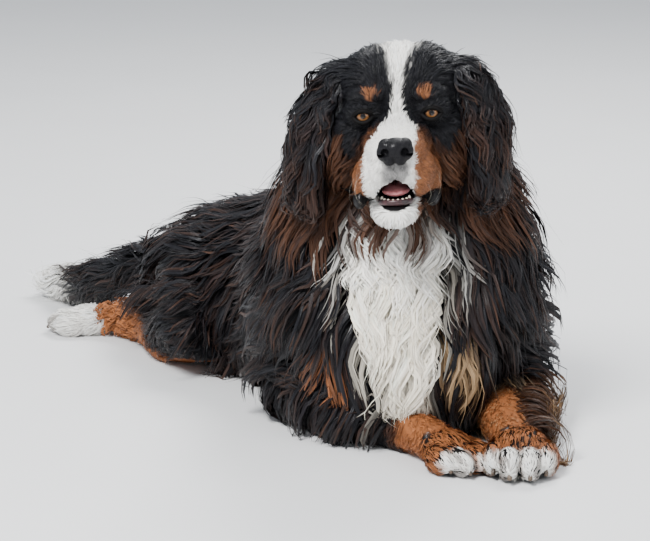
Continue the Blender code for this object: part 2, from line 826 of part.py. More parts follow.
def lie_foreleg(point, normal):
    """Feathering behind the forearm, swept out over the floor."""
    return Vector((0.75 * (1 if point.x > 0.06 else -0.6), 0.35, -0.55)).normalized()


def lie_hindleg(point, normal):
    """Down the thigh toward the hock."""
    return Vector((-0.5 if point.x < -0.2 else 0.4, 0.7, -0.6)).normalized()


def lie_tail(point, normal):
    """Along the tail, spreading and sinking toward the floor."""
    return (line_direction(point, TAIL) + normal * 0.35 - UP * 0.12).normalized()


def on_torso(spot, normal):
    """The torso and rump above the belly."""
    lowest = 0.055 if spot.y > 0.06 else 0.100
    return spot.z > lowest and normal.z > -0.75


def on_neck(spot, normal):
    """All round the neck, but not under the chin."""
    return spot.z < HEAD_PLACE.z + 0.03 and normal.z > -0.6


def on_head(spot, normal):
    """The rear cheeks and the crown."""
    behind = spot.y > HEAD_PLACE.y + 0.055
    return behind and spot.z < HEAD_PLACE.z - 0.03


def on_ear(spot, normal):
    """The ear's outer face and rim."""
    return spot.z < HEAD_PLACE.z + 0.01 and (normal.x * spot.x > 0 or normal.y > 0.6)


def on_foreleg(spot, normal):
    """The rear edge of the upper leg and forearm."""
    outer = normal.x > 0.2 if spot.x > 0.06 else normal.y < 0.3
    return outer and spot.z > 0.025 and spot.y > -0.105


def on_hindleg(spot, normal):
    """The thigh."""
    return spot.z > 0.045 and normal.z > -0.3 and spot.y < 0.50


def on_tail(spot, normal):
    """The whole tail above its underside."""
    return normal.z > -0.5


GROWTH = {
    "head": (on_head, lie_head),
    "ear": (on_ear, lie_ear),
    "neck": (on_neck, lie_neck),
    "torso": (on_torso, lie_torso),
    "rump": (on_torso, lie_torso),
    "foreleg": (on_foreleg, lie_foreleg),
    "hindleg": (on_hindleg, lie_hindleg),
    "tail": (on_tail, lie_tail),
}


def dressed_node(core, cores, coats):
    """A node's core with its locks, clear of the other cores and of the locks before its own."""
    earlier = [lock for other in cores[:cores.index(core)] for lock in coats[other.name]]
    fat = [lock.solid(LOCK_GAP) for lock in earlier if lock.beside(core)]
    node = boolean(evaluated_copy(core, core.name + "_dressed"), fat, "DIFFERENCE")
    remove(fat)
    locks = [lock.solid() for lock in coats[core.name]]
    if locks:
        fat = [lock.solid(LOCK_GAP) for lock in earlier]
        fat += [swollen(other, LOCK_GAP) for other in cores if other is not core]
        bunch = boolean(boolean(locks[0], locks[1:], "UNION"), fat, "DIFFERENCE")
        node = boolean(node, [bunch], "UNION")
        remove(locks[1:] + fat + [bunch])
    return largest(without_slivers(largest(node)))


def sound(obj):
    """Whether a mesh stays one closed surface when its corners are rounded, coarsely or finely."""
    corners = np.array([vert.co for vert in obj.data.vertices])
    obj.data.calc_loop_triangles()
    triangles = np.array([triangle.vertices for triangle in obj.data.loop_triangles])
    for grain in ROUNDINGS:
        _, place = np.unique(np.round(corners / grain), axis=0, return_inverse=True)
        faces = place.reshape(-1)[triangles]
        faces = faces[(faces != np.roll(faces, 1, axis=1)).all(axis=1)]
        edges = np.sort(np.concatenate([faces[:, [0, 1]], faces[:, [1, 2]], faces[:, [2, 0]]]), axis=1)
        _, shared = np.unique(edges, axis=0, return_counts=True)
        if (shared != 2).any():
            return False
    return True


def shared_volume(first, second):
    """The volume that two bodies both fill."""
    both = boolean(evaluated_copy(first, "shared"), [second], "INTERSECT")
    work = bmesh.new()
    work.from_mesh(both.data)
    volume = abs(work.calc_volume())
    work.free()
    remove([both])
    return volume


def dress(cores):
    """Grows the locks on the nodes that carry them, each node clear of all the others."""
    draw = random.Random(SEED)
    trees = {core.name: surface_tree([core]) for core in cores}
    body = surface_tree(cores)
    coats = {}
    for core in cores:
        kind = next((k for k in COATS if core.name.startswith(k)), None)
        coats[core.name] = []
        if kind is None:
            continue
        wanted, lie = GROWTH[kind]
        blocked = [tree for name, tree in trees.items() if name != core.name]
        covered = [spot for locks in coats.values() for lock in locks for spot in lock.points[2:]]
        space = COATS[kind]["space"]
        for root, facing in scatter(core, space, wanted, blocked, covered, draw):
            lock = grow_lock(body, root, facing, lie, COATS[kind], draw)
            coats[core.name].append(lock)
    for name in SMOOTH_NODES:
        coats[name] = []
    dressed = []
    for core in cores:
        node = dressed_node(core, cores, coats)
        for _ in range(TRIES):
            if sound(node) and all(shared_volume(node, other) < OVERLAP for other in dressed):
                break
            remove([node])
            for lock in coats[core.name]:
                lock.nudge()
            node = dressed_node(core, cores, coats)
        dressed.append(node)
    names = [core.name for core in cores]
    remove(cores)
    for node, name in zip(dressed, names):
        node.name = name
    return dressed


def halved(torso):
    """The torso parted behind the ribs into chest and rump."""
    place = Vector(TORSO[RUMP_FROM][:3])
    along = line_direction(place, TORSO)
    turn = along.to_track_quat("Y", "Z").to_matrix().to_4x4()
    halves = []
    for name, sign in (("torso", 1), ("rump", -1)):
        bpy.ops.mesh.primitive_cube_add(size=1)
        block = bpy.context.active_object
        middle = place + along * sign * 0.5 * FLOOR_SIZE
        if name == "rump":
            middle += along * PART_GAP
        block.matrix_world = (
            Matrix.Translation(middle) @ turn @ Matrix.Scale(FLOOR_SIZE, 4)
        )
        cutter = evaluated_copy(block, "half_space")
        remove([block])
        half = boolean(evaluated_copy(torso, name + "_half"), [cutter], "DIFFERENCE")
        remove([cutter])
        halves.append(largest(half))
    remove([torso])
    halves[0].name, halves[1].name = "torso", "rump"
    return halves


def build_dog():
    """All the parts, each cut clear of the ones before it, then the coat."""
    eyes = [build_eye(-1, "eye_right"), build_eye(1, "eye_left")]
    head = cut_clear(build_head(), eyes)
    lids = [eyelid(side, lift) for side in (-1, 1) for lift in (-1, 1)]
    head = largest(cut_clear(boolean(head, lids, "UNION"), eyes))
    remove(lids)
    nose = cut_clear(build_nose(), [head])
    jaw = cut_clear(build_jaw(), [head])
    tongue = cut_clear(build_tongue(), [head, jaw])
    teeth = cut_clear(build_teeth(), [head, jaw, tongue])
    ears = [build_ear(-1, "ear_right"), build_ear(1, "ear_left")]
    ears = [cut_clear(ear, [head]) for ear in ears]
    torso, rump = halved(build_torso())
    neck = cut_clear(build_neck(), [head, jaw, torso] + ears)
    legs = [
        build_leg("foreleg_left", FORELEG_LEFT),
        build_leg("foreleg_right", FORELEG_RIGHT),
        build_leg("hindleg_left", HINDLEG_LEFT),
        build_leg("hindleg_right", HINDLEG_RIGHT),
    ]
    legs = [cut_clear(leg, [torso, rump, neck]) for leg in legs]
    places = {
        "forepaw_left": PAW_LEFT,
        "forepaw_right": PAW_RIGHT,
        "hindpaw_left": HINDPAW_LEFT,
        "hindpaw_right": HINDPAW_RIGHT,
    }
    paws = []
    for leg, (name, place) in zip(legs, places.items()):
        paws.append(cut_clear(build_paw(name, place), [leg] + paws[:1]))
    tail = cut_clear(build_tail(), [torso, rump] + legs)
    face = [*eyes, nose, jaw, tongue, teeth]
    return dress([head, *face, *paws, *ears, *legs, neck, torso, rump, tail])


def main():
    """Clears the scene and builds the dog."""
    for obj in list(bpy.data.objects):
        bpy.data.objects.remove(obj)
    parts = build_dog()
    home = bpy.data.collections.new("bernese_mountain_dog")
    bpy.context.scene.collection.children.link(home)
    for part in parts:
        give_finish(part)
        for old in list(part.users_collection):
            old.objects.unlink(part)
        home.objects.link(part)


main()
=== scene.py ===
"""A life-size bernese mountain dog at rest: skin, coat, eyes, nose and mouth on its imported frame."""

from __future__ import annotations

import logging
import math
from dataclasses import dataclass
from enum import Enum
from typing import Any, Callable, Sequence

import bmesh
import bpy
import numpy as np
from mathutils import Matrix, Vector
from mathutils.bvhtree import BVHTree


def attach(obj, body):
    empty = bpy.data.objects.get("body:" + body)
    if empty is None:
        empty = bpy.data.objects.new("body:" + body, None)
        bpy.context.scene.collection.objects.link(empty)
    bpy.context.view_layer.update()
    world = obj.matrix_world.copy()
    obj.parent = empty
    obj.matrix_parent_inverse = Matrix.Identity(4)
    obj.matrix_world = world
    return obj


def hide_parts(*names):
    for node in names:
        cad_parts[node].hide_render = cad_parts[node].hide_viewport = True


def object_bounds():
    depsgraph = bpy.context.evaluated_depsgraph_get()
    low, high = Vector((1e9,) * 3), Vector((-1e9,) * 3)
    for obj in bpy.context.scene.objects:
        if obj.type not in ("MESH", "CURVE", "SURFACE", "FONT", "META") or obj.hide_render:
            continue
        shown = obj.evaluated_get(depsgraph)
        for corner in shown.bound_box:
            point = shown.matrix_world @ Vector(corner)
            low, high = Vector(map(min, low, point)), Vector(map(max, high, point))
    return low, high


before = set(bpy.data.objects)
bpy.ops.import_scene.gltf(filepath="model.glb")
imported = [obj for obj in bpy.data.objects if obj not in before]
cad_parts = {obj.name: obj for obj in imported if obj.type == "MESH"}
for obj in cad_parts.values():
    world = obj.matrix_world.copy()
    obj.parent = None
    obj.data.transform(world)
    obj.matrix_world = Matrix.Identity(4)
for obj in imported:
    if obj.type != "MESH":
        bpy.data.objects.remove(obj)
FRAME_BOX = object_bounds()

log = logging.getLogger("dog")
Array = np.ndarray
Body = bpy.types.Object
Station = tuple[float, float, float, float, float]
UP = Vector((0, 0, 1))
ACROSS = Vector((1, 0, 0))

# Depth of the skin under the tips of the coat
BODY_DEPTH = 0.034
LEG_DEPTH = 0.008
TAIL_DEPTH = 0.024
EAR_DEPTH = 0.007
FACE_DEPTH = 0.005

# Torso: centre, half width and half height of the coat, from brisket to buttocks
TORSO: list[Station] = [
    (0.015, -0.110, 0.170, 0.060, 0.075),
    (0.015, -0.085, 0.165, 0.120, 0.125),
    (0.015, -0.030, 0.160, 0.165, 0.185),
    (0.010, 0.050, 0.160, 0.190, 0.205),
    (-0.005, 0.135, 0.155, 0.195, 0.205),
    (-0.045, 0.230, 0.140, 0.185, 0.187),
    (-0.105, 0.320, 0.122, 0.170, 0.164),
    (-0.175, 0.395, 0.110, 0.160, 0.148),
    (-0.245, 0.455, 0.105, 0.140, 0.126),
    (-0.300, 0.500, 0.105, 0.100, 0.100),
    (-0.330, 0.525, 0.105, 0.050, 0.055),
]

NECK: list[Station] = [
    (0.000, -0.050, 0.470, 0.070, 0.060),
    (0.000, -0.025, 0.430, 0.108, 0.090),
    (0.003, 0.000, 0.380, 0.138, 0.112),
    (0.008, 0.020, 0.320, 0.165, 0.135),
    (0.012, 0.030, 0.260, 0.182, 0.145),
    (0.012, 0.035, 0.200, 0.165, 0.130),
]

FORELEG_LEFT: list[Station] = [
    (0.110, 0.060, 0.180, 0.070, 0.070),
    (0.142, 0.060, 0.110, 0.062, 0.062),
    (0.156, 0.035, 0.050, 0.052, 0.052),
    (0.148, -0.045, 0.038, 0.042, 0.042),
    (0.150, -0.120, 0.034, 0.036, 0.037),
    (0.157, -0.168, 0.031, 0.036, 0.034),
]
FORELEG_RIGHT: list[Station] = [
    (-0.080, 0.090, 0.180, 0.075, 0.075),
    (-0.125, 0.085, 0.110, 0.066, 0.066),
    (-0.135, 0.060, 0.050, 0.052, 0.052),
    (-0.078, -0.015, 0.040, 0.046, 0.046),
    (-0.014, -0.058, 0.035, 0.040, 0.040),
    (0.026, -0.105, 0.031, 0.035, 0.036),
    (0.058, -0.155, 0.028, 0.034, 0.032),
]
HINDLEG_RIGHT: list[Station] = [
    (-0.215, 0.440, 0.150, 0.075, 0.075),
    (-0.265, 0.370, 0.110, 0.090, 0.080),
    (-0.275, 0.315, 0.062, 0.070, 0.068),
    (-0.310, 0.400, 0.040, 0.058, 0.056),
    (-0.345, 0.480, 0.036, 0.045, 0.046),
    (-0.395, 0.530, 0.030, 0.032, 0.034),
    (-0.435, 0.545, 0.026, 0.030, 0.030),
]
HINDLEG_LEFT: list[Station] = [
    (-0.160, 0.480, 0.130, 0.070, 0.075),
    (-0.070, 0.455, 0.095, 0.080, 0.085),
    (0.005, 0.395, 0.055, 0.062, 0.064),
    (-0.020, 0.450, 0.034, 0.046, 0.044),
    (-0.075, 0.510, 0.030, 0.036, 0.036),
    (-0.060, 0.545, 0.026, 0.030, 0.030),
    (-0.005, 0.525, 0.024, 0.030, 0.030),
]
TAIL: list[Station] = [
    (-0.295, 0.490, 0.150, 0.040, 0.040),
    (-0.350, 0.545, 0.120, 0.040, 0.038),
    (-0.400, 0.610, 0.080, 0.044, 0.042),
    (-0.450, 0.680, 0.048, 0.044, 0.042),
    (-0.500, 0.745, 0.034, 0.036, 0.034),
    (-0.540, 0.800, 0.022, 0.018, 0.018),
]

# Legs and tail: line and the depth of the skin under their coat
LIMBS = {
    "foreleg_left": (FORELEG_LEFT, LEG_DEPTH),
    "foreleg_right": (FORELEG_RIGHT, LEG_DEPTH),
    "hindleg_left": (HINDLEG_LEFT, LEG_DEPTH),
    "hindleg_right": (HINDLEG_RIGHT, LEG_DEPTH),
    "tail": (TAIL, TAIL_DEPTH),
}
# The left foreleg lies beyond this, to the dog's left, and the right one on its other side
BETWEEN_FORELEGS = 0.095

# Paws: place, heading and size
PAWS = {
    "forepaw_left": (0.161, -0.200, math.radians(-3), 1.10),
    "forepaw_right": (0.078, -0.183, math.radians(31), 0.95),
    "hindpaw_right": (-0.472, 0.553, math.radians(-105), 0.85),
    "hindpaw_left": (0.030, 0.502, math.radians(60), 0.85),
}
TOES = [(-0.031, -0.006), (-0.012, -0.026), (0.012, -0.026), (0.031, -0.006)]

# Ear, for the left side; the right one mirrors it
EAR: list[Station] = [
    (0.062, 0.066, 0.050, 0.024, 0.012),
    (0.086, 0.062, 0.044, 0.037, 0.014),
    (0.107, 0.058, 0.008, 0.045, 0.014),
    (0.117, 0.054, -0.040, 0.048, 0.013),
    (0.119, 0.048, -0.090, 0.040, 0.013),
    (0.114, 0.044, -0.128, 0.022, 0.011),
]
EAR_BREADTH = Vector((0.62, 0.78, 0)).normalized()

# Head, in its own frame: origin between the eyes, -Y forward
HEAD_PLACE = Vector((0.000, -0.165, 0.471))
HEAD_YAW = math.radians(-3.0)
HEAD_ROLL = math.radians(-3.5)
HEAD_PITCH = math.radians(0.5)
HEAD_LEAN = 0.06
EYE_CENTRE = Vector((0.044, -0.003, 0.000))
EYE_RADIUS = 0.0125
LID_THICK = 0.0018
MUZZLE: list[Station] = [
    (0, 0.045, -0.030, 0.052, 0.046),
    (0, 0.000, -0.035, 0.046, 0.038),
    (0, -0.040, -0.039, 0.043, 0.035),
    (0, -0.075, -0.040, 0.039, 0.032),
    (0, -0.096, -0.040, 0.031, 0.026),
]
JAW: list[Station] = [
    (0, 0.045, -0.100, 0.048, 0.034),
    (0, 0.000, -0.112, 0.040, 0.027),
    (0, -0.045, -0.119, 0.034, 0.021),
    (0, -0.068, -0.120, 0.028, 0.018),
    (0, -0.080, -0.119, 0.016, 0.012),
]


def head_matrix() -> Matrix:
    """From the head's own frame to the dog's."""
    turn = Matrix.Rotation(HEAD_YAW, 4, "Z") @ Matrix.Rotation(HEAD_ROLL, 4, "Y")
    lean = Matrix.Identity(4)
    lean[0][2] = HEAD_LEAN
    return Matrix.Translation(HEAD_PLACE) @ turn @ Matrix.Rotation(HEAD_PITCH, 4, "X") @ lean


HEAD = head_matrix()
TO_HEAD = np.array(HEAD.inverted())


def paw_matrix(x: float, y: float, heading: float, size: float) -> Matrix:
    """From a paw's own frame to the dog's."""
    return Matrix.Translation((x, y, 0)) @ Matrix.Rotation(heading, 4, "Z") @ Matrix.Scale(size, 4)


def in_head(points: Array) -> Array:
    """The places of points in the head's own frame."""
    return points @ TO_HEAD[:3, :3].T + TO_HEAD[:3, 3]


def smooth(low: float, high: float, value: Array) -> Array:
    """A soft step from 0 at low to 1 at high; low may be the greater."""
    share = np.clip((value - low) / (high - low), 0, 1)
    return share * share * (3 - 2 * share)


def held(value: float) -> float:
    """A value held between 0 and 1."""
    return min(max(value, 0), 1)


def oval(*axes: tuple[Array, float, float]) -> Array:
    """An ellipse from the place, middle and half size along each axis: 0 in its middle, 1 at its edge."""
    return sum(((place - middle) / half) ** 2 for place, middle, half in axes)


def ripple(points: Array, size: float, seed: float = 0.0) -> Array:
    """Soft seeded noise between about -1 and 1, at a size in metres."""
    p = points / size
    x, y, z = p[:, 0] + seed, p[:, 1] - seed * 0.7, p[:, 2] + seed * 1.3
    first = np.sin(x * 2.1 + np.sin(y * 1.7 + seed)) * np.cos(z * 1.9 + np.sin(x * 1.3))
    second = np.sin(y * 3.1 + np.sin(z * 2.3)) * np.cos(x * 2.7 - seed + np.sin(z * 1.1))
    return 0.6 * first + 0.4 * second


class Bench:
    """The modelling steps that the pieces share."""

    LEAST_RADIUS = 0.001
    LEAST_HALF = 0.003

    @staticmethod
    def pick(*objects: Body) -> None:
        """Selects only these objects, the first one active."""
        bpy.ops.object.select_all(action="DESELECT")
        for obj in objects:
            obj.select_set(True)
        bpy.context.view_layer.objects.active = objects[0]

    @staticmethod
    def settle(obj: Body, matrix: Matrix | None = None) -> Body:
        """Puts an object's place, turn and size, and then a matrix, into its mesh."""
        Bench.pick(obj)
        bpy.ops.object.transform_apply(location=True, rotation=True, scale=True)
        if matrix is not None:
            obj.data.transform(matrix)
        return obj

    @staticmethod
    def ball(centre: Sequence[float], radii: Sequence[float], detail: tuple[int, int] = (24, 14),
             turn: float = 0.0) -> Body:
        """Adds an ellipsoid.

        Args:
            centre: its middle.
            radii: its half sizes.
            detail: segments around and rings.
            turn: its turn about the vertical.

        Returns:
            The new object, at the origin.
        """
        bpy.ops.object.select_all(action="DESELECT")
        bpy.ops.mesh.primitive_uv_sphere_add(segments=detail[0], ring_count=detail[1], radius=1,
                                             location=centre, rotation=(0, 0, turn))
        obj = bpy.context.active_object
        obj.scale = [max(r, Bench.LEAST_RADIUS) for r in radii]
        return Bench.settle(obj)

    @staticmethod
    def pair(centre: Sequence[float], radii: Sequence[float], inset: float = 0.0) -> list[Body]:
        """A ball and its mirror image across the head's middle."""
        x, y, z = centre
        sizes = [r - inset for r in radii]
        return [Bench.ball((side * x, y, z), sizes) for side in (-1, 1)]

    @staticmethod
    def tube(stations: Sequence[Station], inset: float = 0.0, across: Vector | None = None,
             sides: int = 20) -> Body:
        """Extrudes a ring along a line of elliptical sections.

        Args:
            stations: centre, half width and half height of each section.
            inset: taken off each half size.
            across: the direction of the widths, or None for level ones.
            sides: corners of each ring.

        Returns:
            The closed tube.
        """
        centres = [Vector(s[:3]) for s in stations]
        rings = []
        for i, station in enumerate(stations):
            along = centres[min(i + 1, len(centres) - 1)] - centres[max(i - 1, 0)]
            side = across.copy() if across else along.cross(UP).normalized()
            lift = side.cross(along).normalized()
            wide, high = (max(half - inset, Bench.LEAST_HALF) for half in station[3:])
            turns = [2 * math.pi * k / sides for k in range(sides)]
            rings.append([centres[i] + side * wide * math.cos(t) + lift * high * math.sin(t) for t in turns])
        bpy.ops.object.select_all(action="DESELECT")
        bpy.ops.mesh.primitive_circle_add(vertices=sides, radius=1, fill_type="NGON")
        obj = bpy.context.active_object
        for vert, spot in zip(obj.data.vertices, rings[0]):
            vert.co = spot
        bpy.ops.object.mode_set(mode="EDIT")
        bpy.ops.mesh.select_all(action="SELECT")
        for before, ring in zip(rings, rings[1:]):
            bpy.ops.mesh.extrude_region_move()
            work = bmesh.from_edit_mesh(obj.data)
            for vert in [v for v in work.verts if v.select]:
                nearest = min(range(sides), key=lambda k: (before[k] - vert.co).length_squared)
                vert.co = ring[nearest]
            bmesh.update_edit_mesh(obj.data)
        bpy.ops.mesh.select_all(action="SELECT")
        bpy.ops.mesh.normals_make_consistent(inside=False)
        bpy.ops.object.mode_set(mode="OBJECT")
        return obj

    @staticmethod
    def finish(obj: Body) -> Body:
        """Applies an object's modifiers."""
        Bench.pick(obj)
        for step in list(obj.modifiers):
            bpy.ops.object.modifier_apply(modifier=step.name)
        return obj

    @staticmethod
    def join(name: str, objects: Sequence[Body]) -> Body:
        """Makes one object of several."""
        Bench.pick(*objects)
        if len(objects) > 1:
            bpy.ops.object.join()
        made = bpy.context.active_object
        made.name = made.data.name = name
        return made

    @staticmethod
    def fuse(name: str, forms: Sequence[Body], voxel: float,
             smoothing: int = 4) -> Body:
        """Joins overlapping forms into one smooth body.

        Args:
            name: the body's name.
            forms: closed forms that overlap.
            voxel: the remesh size.
            smoothing: smoothing passes.

        Returns:
            The body.
        """
        obj = Bench.join(name, forms)
        remesh = obj.modifiers.new("Remesh", "REMESH")
        remesh.mode = "VOXEL"
        remesh.voxel_size = voxel
        soften = obj.modifiers.new("Smooth", "SMOOTH")
        soften.factor = 0.5
        soften.iterations = smoothing
        Bench.finish(obj)
        Bench.shade(obj)
        return obj

    @staticmethod
    def combine(obj: Body, others: Sequence[Body],
                operation: str) -> Body:
        """Unites other closed forms with an object, or cuts them from it, and uses them up."""
        group = bpy.data.collections.new("forms")
        bpy.context.scene.collection.children.link(group)
        for other in others:
            group.objects.link(other)
        step = obj.modifiers.new("Boolean", "BOOLEAN")
        step.operation = operation
        step.solver = "MANIFOLD"
        step.operand_type = "COLLECTION"
        step.collection = group
        Bench.finish(obj)
        bpy.data.collections.remove(group)
        for other in others:
            bpy.data.objects.remove(other)
        return obj

    @staticmethod
    def shade(obj: Body) -> None:
        """Smooth shading."""
        Bench.pick(obj)
        bpy.ops.object.shade_smooth()

    @staticmethod
    def dress(obj: Body, material: bpy.types.Material) -> None:
        """Gives an object one material and smooth shading."""
        obj.data.materials.clear()
        obj.data.materials.append(material)
        Bench.shade(obj)


class Link:
    """A shader value that can be used in expressions."""

    def __init__(self, shop: "Shop", socket: Any) -> None:
        """Holds a socket and the material it belongs to."""
        self.shop = shop
        self.socket = socket

    def _math(self, operation: str, *values: Any) -> "Link":
        """Adds a Math node."""
        return self.shop.make("ShaderNodeMath", {"operation": operation}, dict(enumerate(values)))

    def __add__(self, other: Any) -> "Link":
        """Sum."""
        return self._math("ADD", self, other)

    def __rsub__(self, other: Any) -> "Link":
        """Difference from a number."""
        return self._math("SUBTRACT", other, self)

    def __mul__(self, other: Any) -> "Link":
        """Product."""
        return self._math("MULTIPLY", self, other)

    __radd__ = __add__

    def between(self, low: float, high: float) -> "Link":
        """A soft step from 0 at low to 1 at high."""
        return self.shop.make("ShaderNodeMapRange", {"interpolation_type": "SMOOTHSTEP"},
                              {"Value": self, "From Min": low, "From Max": high})


class Shop:
    """A material being made."""

    def __init__(self, name: str, **base: Any) -> None:
        """Starts a material with one principled surface and its fixed values."""
        self.material = bpy.data.materials.new(name)
        self.material.use_nodes = True
        self.tree = self.material.node_tree
        self.tree.nodes.clear()
        self.surface = self.tree.nodes.new("ShaderNodeBsdfPrincipled")
        output = self.tree.nodes.new("ShaderNodeOutputMaterial")
        self.tree.links.new(self.surface.outputs[0], output.inputs[0])
        for key, value in base.items():
            self.surface.inputs[key.replace("_", " ")].default_value = value

    def make(self, kind: str, settings: dict[str, Any] | None = None, sockets: dict[Any, Any] | None = None,
             output: Any = 0) -> Link:
        """Adds a node.

        Args:
            kind: the node's type.
            settings: its own settings, with "stops" for a ramp's colours.
            sockets: values or links, by input name or number.
            output: the output that is used.

        Returns:
            That output.
        """
        node = self.tree.nodes.new(kind)
        for key, value in (settings or {}).items():
            if key == "stops":
                for k, (place, colour) in enumerate(value):
                    stops = node.color_ramp.elements
                    stop = stops[k] if k < len(stops) else stops.new(place)
                    stop.position = place
                    stop.color = (*colour, 1)
            else:
                setattr(node, key, value)
        for key, value in (sockets or {}).items():
            self.feed(node.inputs[key], value)
        return Link(self, node.outputs[output])

    def feed(self, socket: Any, value: Any) -> None:
        """Links a value to a socket, or sets it."""
        if isinstance(value, Link):
            self.tree.links.new(value.socket, socket)
        else:
            socket.default_value = value

    def dress(self, socket: str, value: Link) -> None:
        """Feeds one of the surface's own sockets."""
        self.feed(self.surface.inputs[socket], value)

    def mix(self, share: Any, first: Any, second: Any, blend: str = "MIX") -> Link:
        """Mixes two colours."""
        settings = {"data_type": "RGBA", "blend_type": blend}
        return self.make("ShaderNodeMix", settings, {0: share, 6: first, 7: second}, 2)

    def place(self) -> Link:
        """Object coordinates."""
        return self.make("ShaderNodeTexCoord", None, None, "Object")

    def attribute(self, name: str, output: str = "Color") -> Link:
        """A value carried by the mesh."""
        return self.make("ShaderNodeAttribute", {"attribute_name": name}, None, output)

    def noise(self, scale: float, detail: float = 3.0, place: Link | None = None) -> Link:
        """Noise by its scale, per metre."""
        sockets = {"Vector": place or self.place(), "Scale": scale, "Detail": detail}
        return self.make("ShaderNodeTexNoise", None, sockets, 0)

    def bump(self, height: Link, strength: float, distance: float) -> None:
        """Feeds the surface's normal with a bump."""
        sockets = {"Height": height, "Strength": strength, "Distance": distance}
        self.dress("Normal", self.make("ShaderNodeBump", None, sockets))


def grey(value: float) -> tuple[float, float, float, float]:
    """A grey colour."""
    return (value, value, value, 1.0)


@dataclass(frozen=True)
class HairFinish:
    """Hair, coloured by what its roots stand on."""

    name: str = "hair"
    dark_roughness: float = 0.27
    pale_roughness: float = 0.60
    dark_streaks: tuple[float, float] = (0.40, 1.60)
    pale_streaks: tuple[float, float] = (0.80, 1.08)
    relief: float = 0.0005

    def build(self) -> bpy.types.Material:
        """Makes the material."""
        shop = Shop(self.name, IOR=1.3, Specular_IOR_Level=0.35)
        tint = shop.attribute("tint")
        pale = shop.make("ShaderNodeRGBToBW", None, {0: tint}).between(0.05, 0.45)
        fibres = shop.noise(1.0, 2.0, shop.attribute("strand", "Vector"))
        streaks = fibres.between(0.32, 0.68)
        on_dark, on_pale = (shop.mix(streaks, grey(low), grey(high))
                            for low, high in (self.dark_streaks, self.pale_streaks))
        shop.dress("Base Color", shop.mix(1.0, tint, shop.mix(pale, on_dark, on_pale), "MULTIPLY"))
        gloss = pale * (self.pale_roughness - self.dark_roughness) + self.dark_roughness
        shop.dress("Roughness", gloss + streaks * 0.10)
        shop.bump(streaks, 0.6, self.relief)
        return shop.material


@dataclass(frozen=True)
class SkinFinish:
    """Skin under the coat, with the shortest hair as bump, wet at lips and lids."""

    name: str = "skin"
    grain: float = 420.0
    roughness: float = 0.75
    relief: float = 0.0012

    def build(self) -> bpy.types.Material:
        """Makes the material."""
        shop = Shop(self.name, IOR=1.3, Specular_IOR_Level=0.30)
        tint = shop.attribute("tint")
        wet = shop.attribute("wet", "Fac")
        grain = shop.noise(self.grain, 4.0)
        shop.dress("Base Color", shop.mix(0.35, tint, shop.mix(grain, grey(0.5), grey(1.3)), "MULTIPLY"))
        shop.dress("Roughness", self.roughness - wet * 0.47)
        shop.dress("Coat Weight", wet * 0.25)
        shop.bump(grain * (1 - wet * 0.8), 0.5, self.relief)
        return shop.material


@dataclass(frozen=True)
class NoseFinish:
    """Moist black nose leather, pebbled."""

    name: str = "nose_leather"
    pebble_scale: float = 620.0
    blotch_scale: float = 160.0
    dark: tuple[float, float, float] = (0.004, 0.004, 0.005)
    light: tuple[float, float, float] = (0.014, 0.013, 0.015)
    relief: float = 0.0007

    def build(self) -> bpy.types.Material:
        """Makes the material."""
        shop = Shop(self.name, IOR=1.3, Coat_Roughness=0.22, Specular_IOR_Level=0.20)
        cells = shop.make("ShaderNodeTexVoronoi", {"feature": "DISTANCE_TO_EDGE"},
                          {"Vector": shop.place(), "Scale": self.pebble_scale}, "Distance")
        pebbles = cells.between(0.0, 0.22)
        blotch = shop.noise(self.blotch_scale)
        # Painted shade: the colour is darker in the grooves between the pebbles, and the blotches vary it at
        # random.
        shop.dress("Base Color", shop.mix(pebbles * blotch, (*self.dark, 1), (*self.light, 1)))
        shop.dress("Roughness", 0.48 - pebbles * 0.14)
        shop.dress("Coat Weight", blotch * 0.15)
        shop.bump(pebbles + blotch * 0.4, 0.55, self.relief)
        return shop.material


@dataclass(frozen=True)
class EyeFinish:
    """An eye with pupil, fibrous amber iris and dark rim, under a wet layer."""

    name: str = "eye"
    pupil: float = 0.25
    iris: float = 0.66
    black: tuple[float, float, float] = (0.004, 0.003, 0.003)

    def build(self) -> bpy.types.Material:
        """Makes the material."""
        shop = Shop(self.name, Roughness=0.15, IOR=1.38, Coat_Weight=0.6, Coat_Roughness=0.02,
                    Specular_IOR_Level=0.15)
        gaze = shop.attribute("gaze", "Vector")
        flat = shop.make("ShaderNodeVectorMath", {"operation": "MULTIPLY"}, {0: gaze, 1: (1, 1, 0)})
        out = shop.make("ShaderNodeVectorMath", {"operation": "LENGTH"}, {0: flat}, "Value")
        ray = shop.make("ShaderNodeVectorMath", {"operation": "NORMALIZE"}, {0: flat})
        fibres = shop.noise(9.0, 4.0, ray)
        stops = [
            (0.0, self.black),
            (self.pupil, self.black),
            (self.pupil + 0.04, (0.070, 0.028, 0.009)),
            (0.44, (0.180, 0.078, 0.024)),
            (0.58, (0.075, 0.031, 0.011)),
            (self.iris, (0.016, 0.009, 0.007)),
            (self.iris + 0.16, (0.014, 0.010, 0.009)),
            (0.98, (0.10, 0.075, 0.065)),
        ]
        rings = shop.make("ShaderNodeValToRGB", {"stops": stops}, {0: out})
        streaks = shop.mix(fibres.between(0.3, 0.7), grey(0.55), grey(1.5))
        on_iris = out.between(self.pupil, self.pupil + 0.05) * (1 - out.between(self.iris - 0.04, self.iris))
        shop.dress("Base Color", shop.mix(on_iris * 0.8, rings, streaks, "MULTIPLY"))
        return shop.material


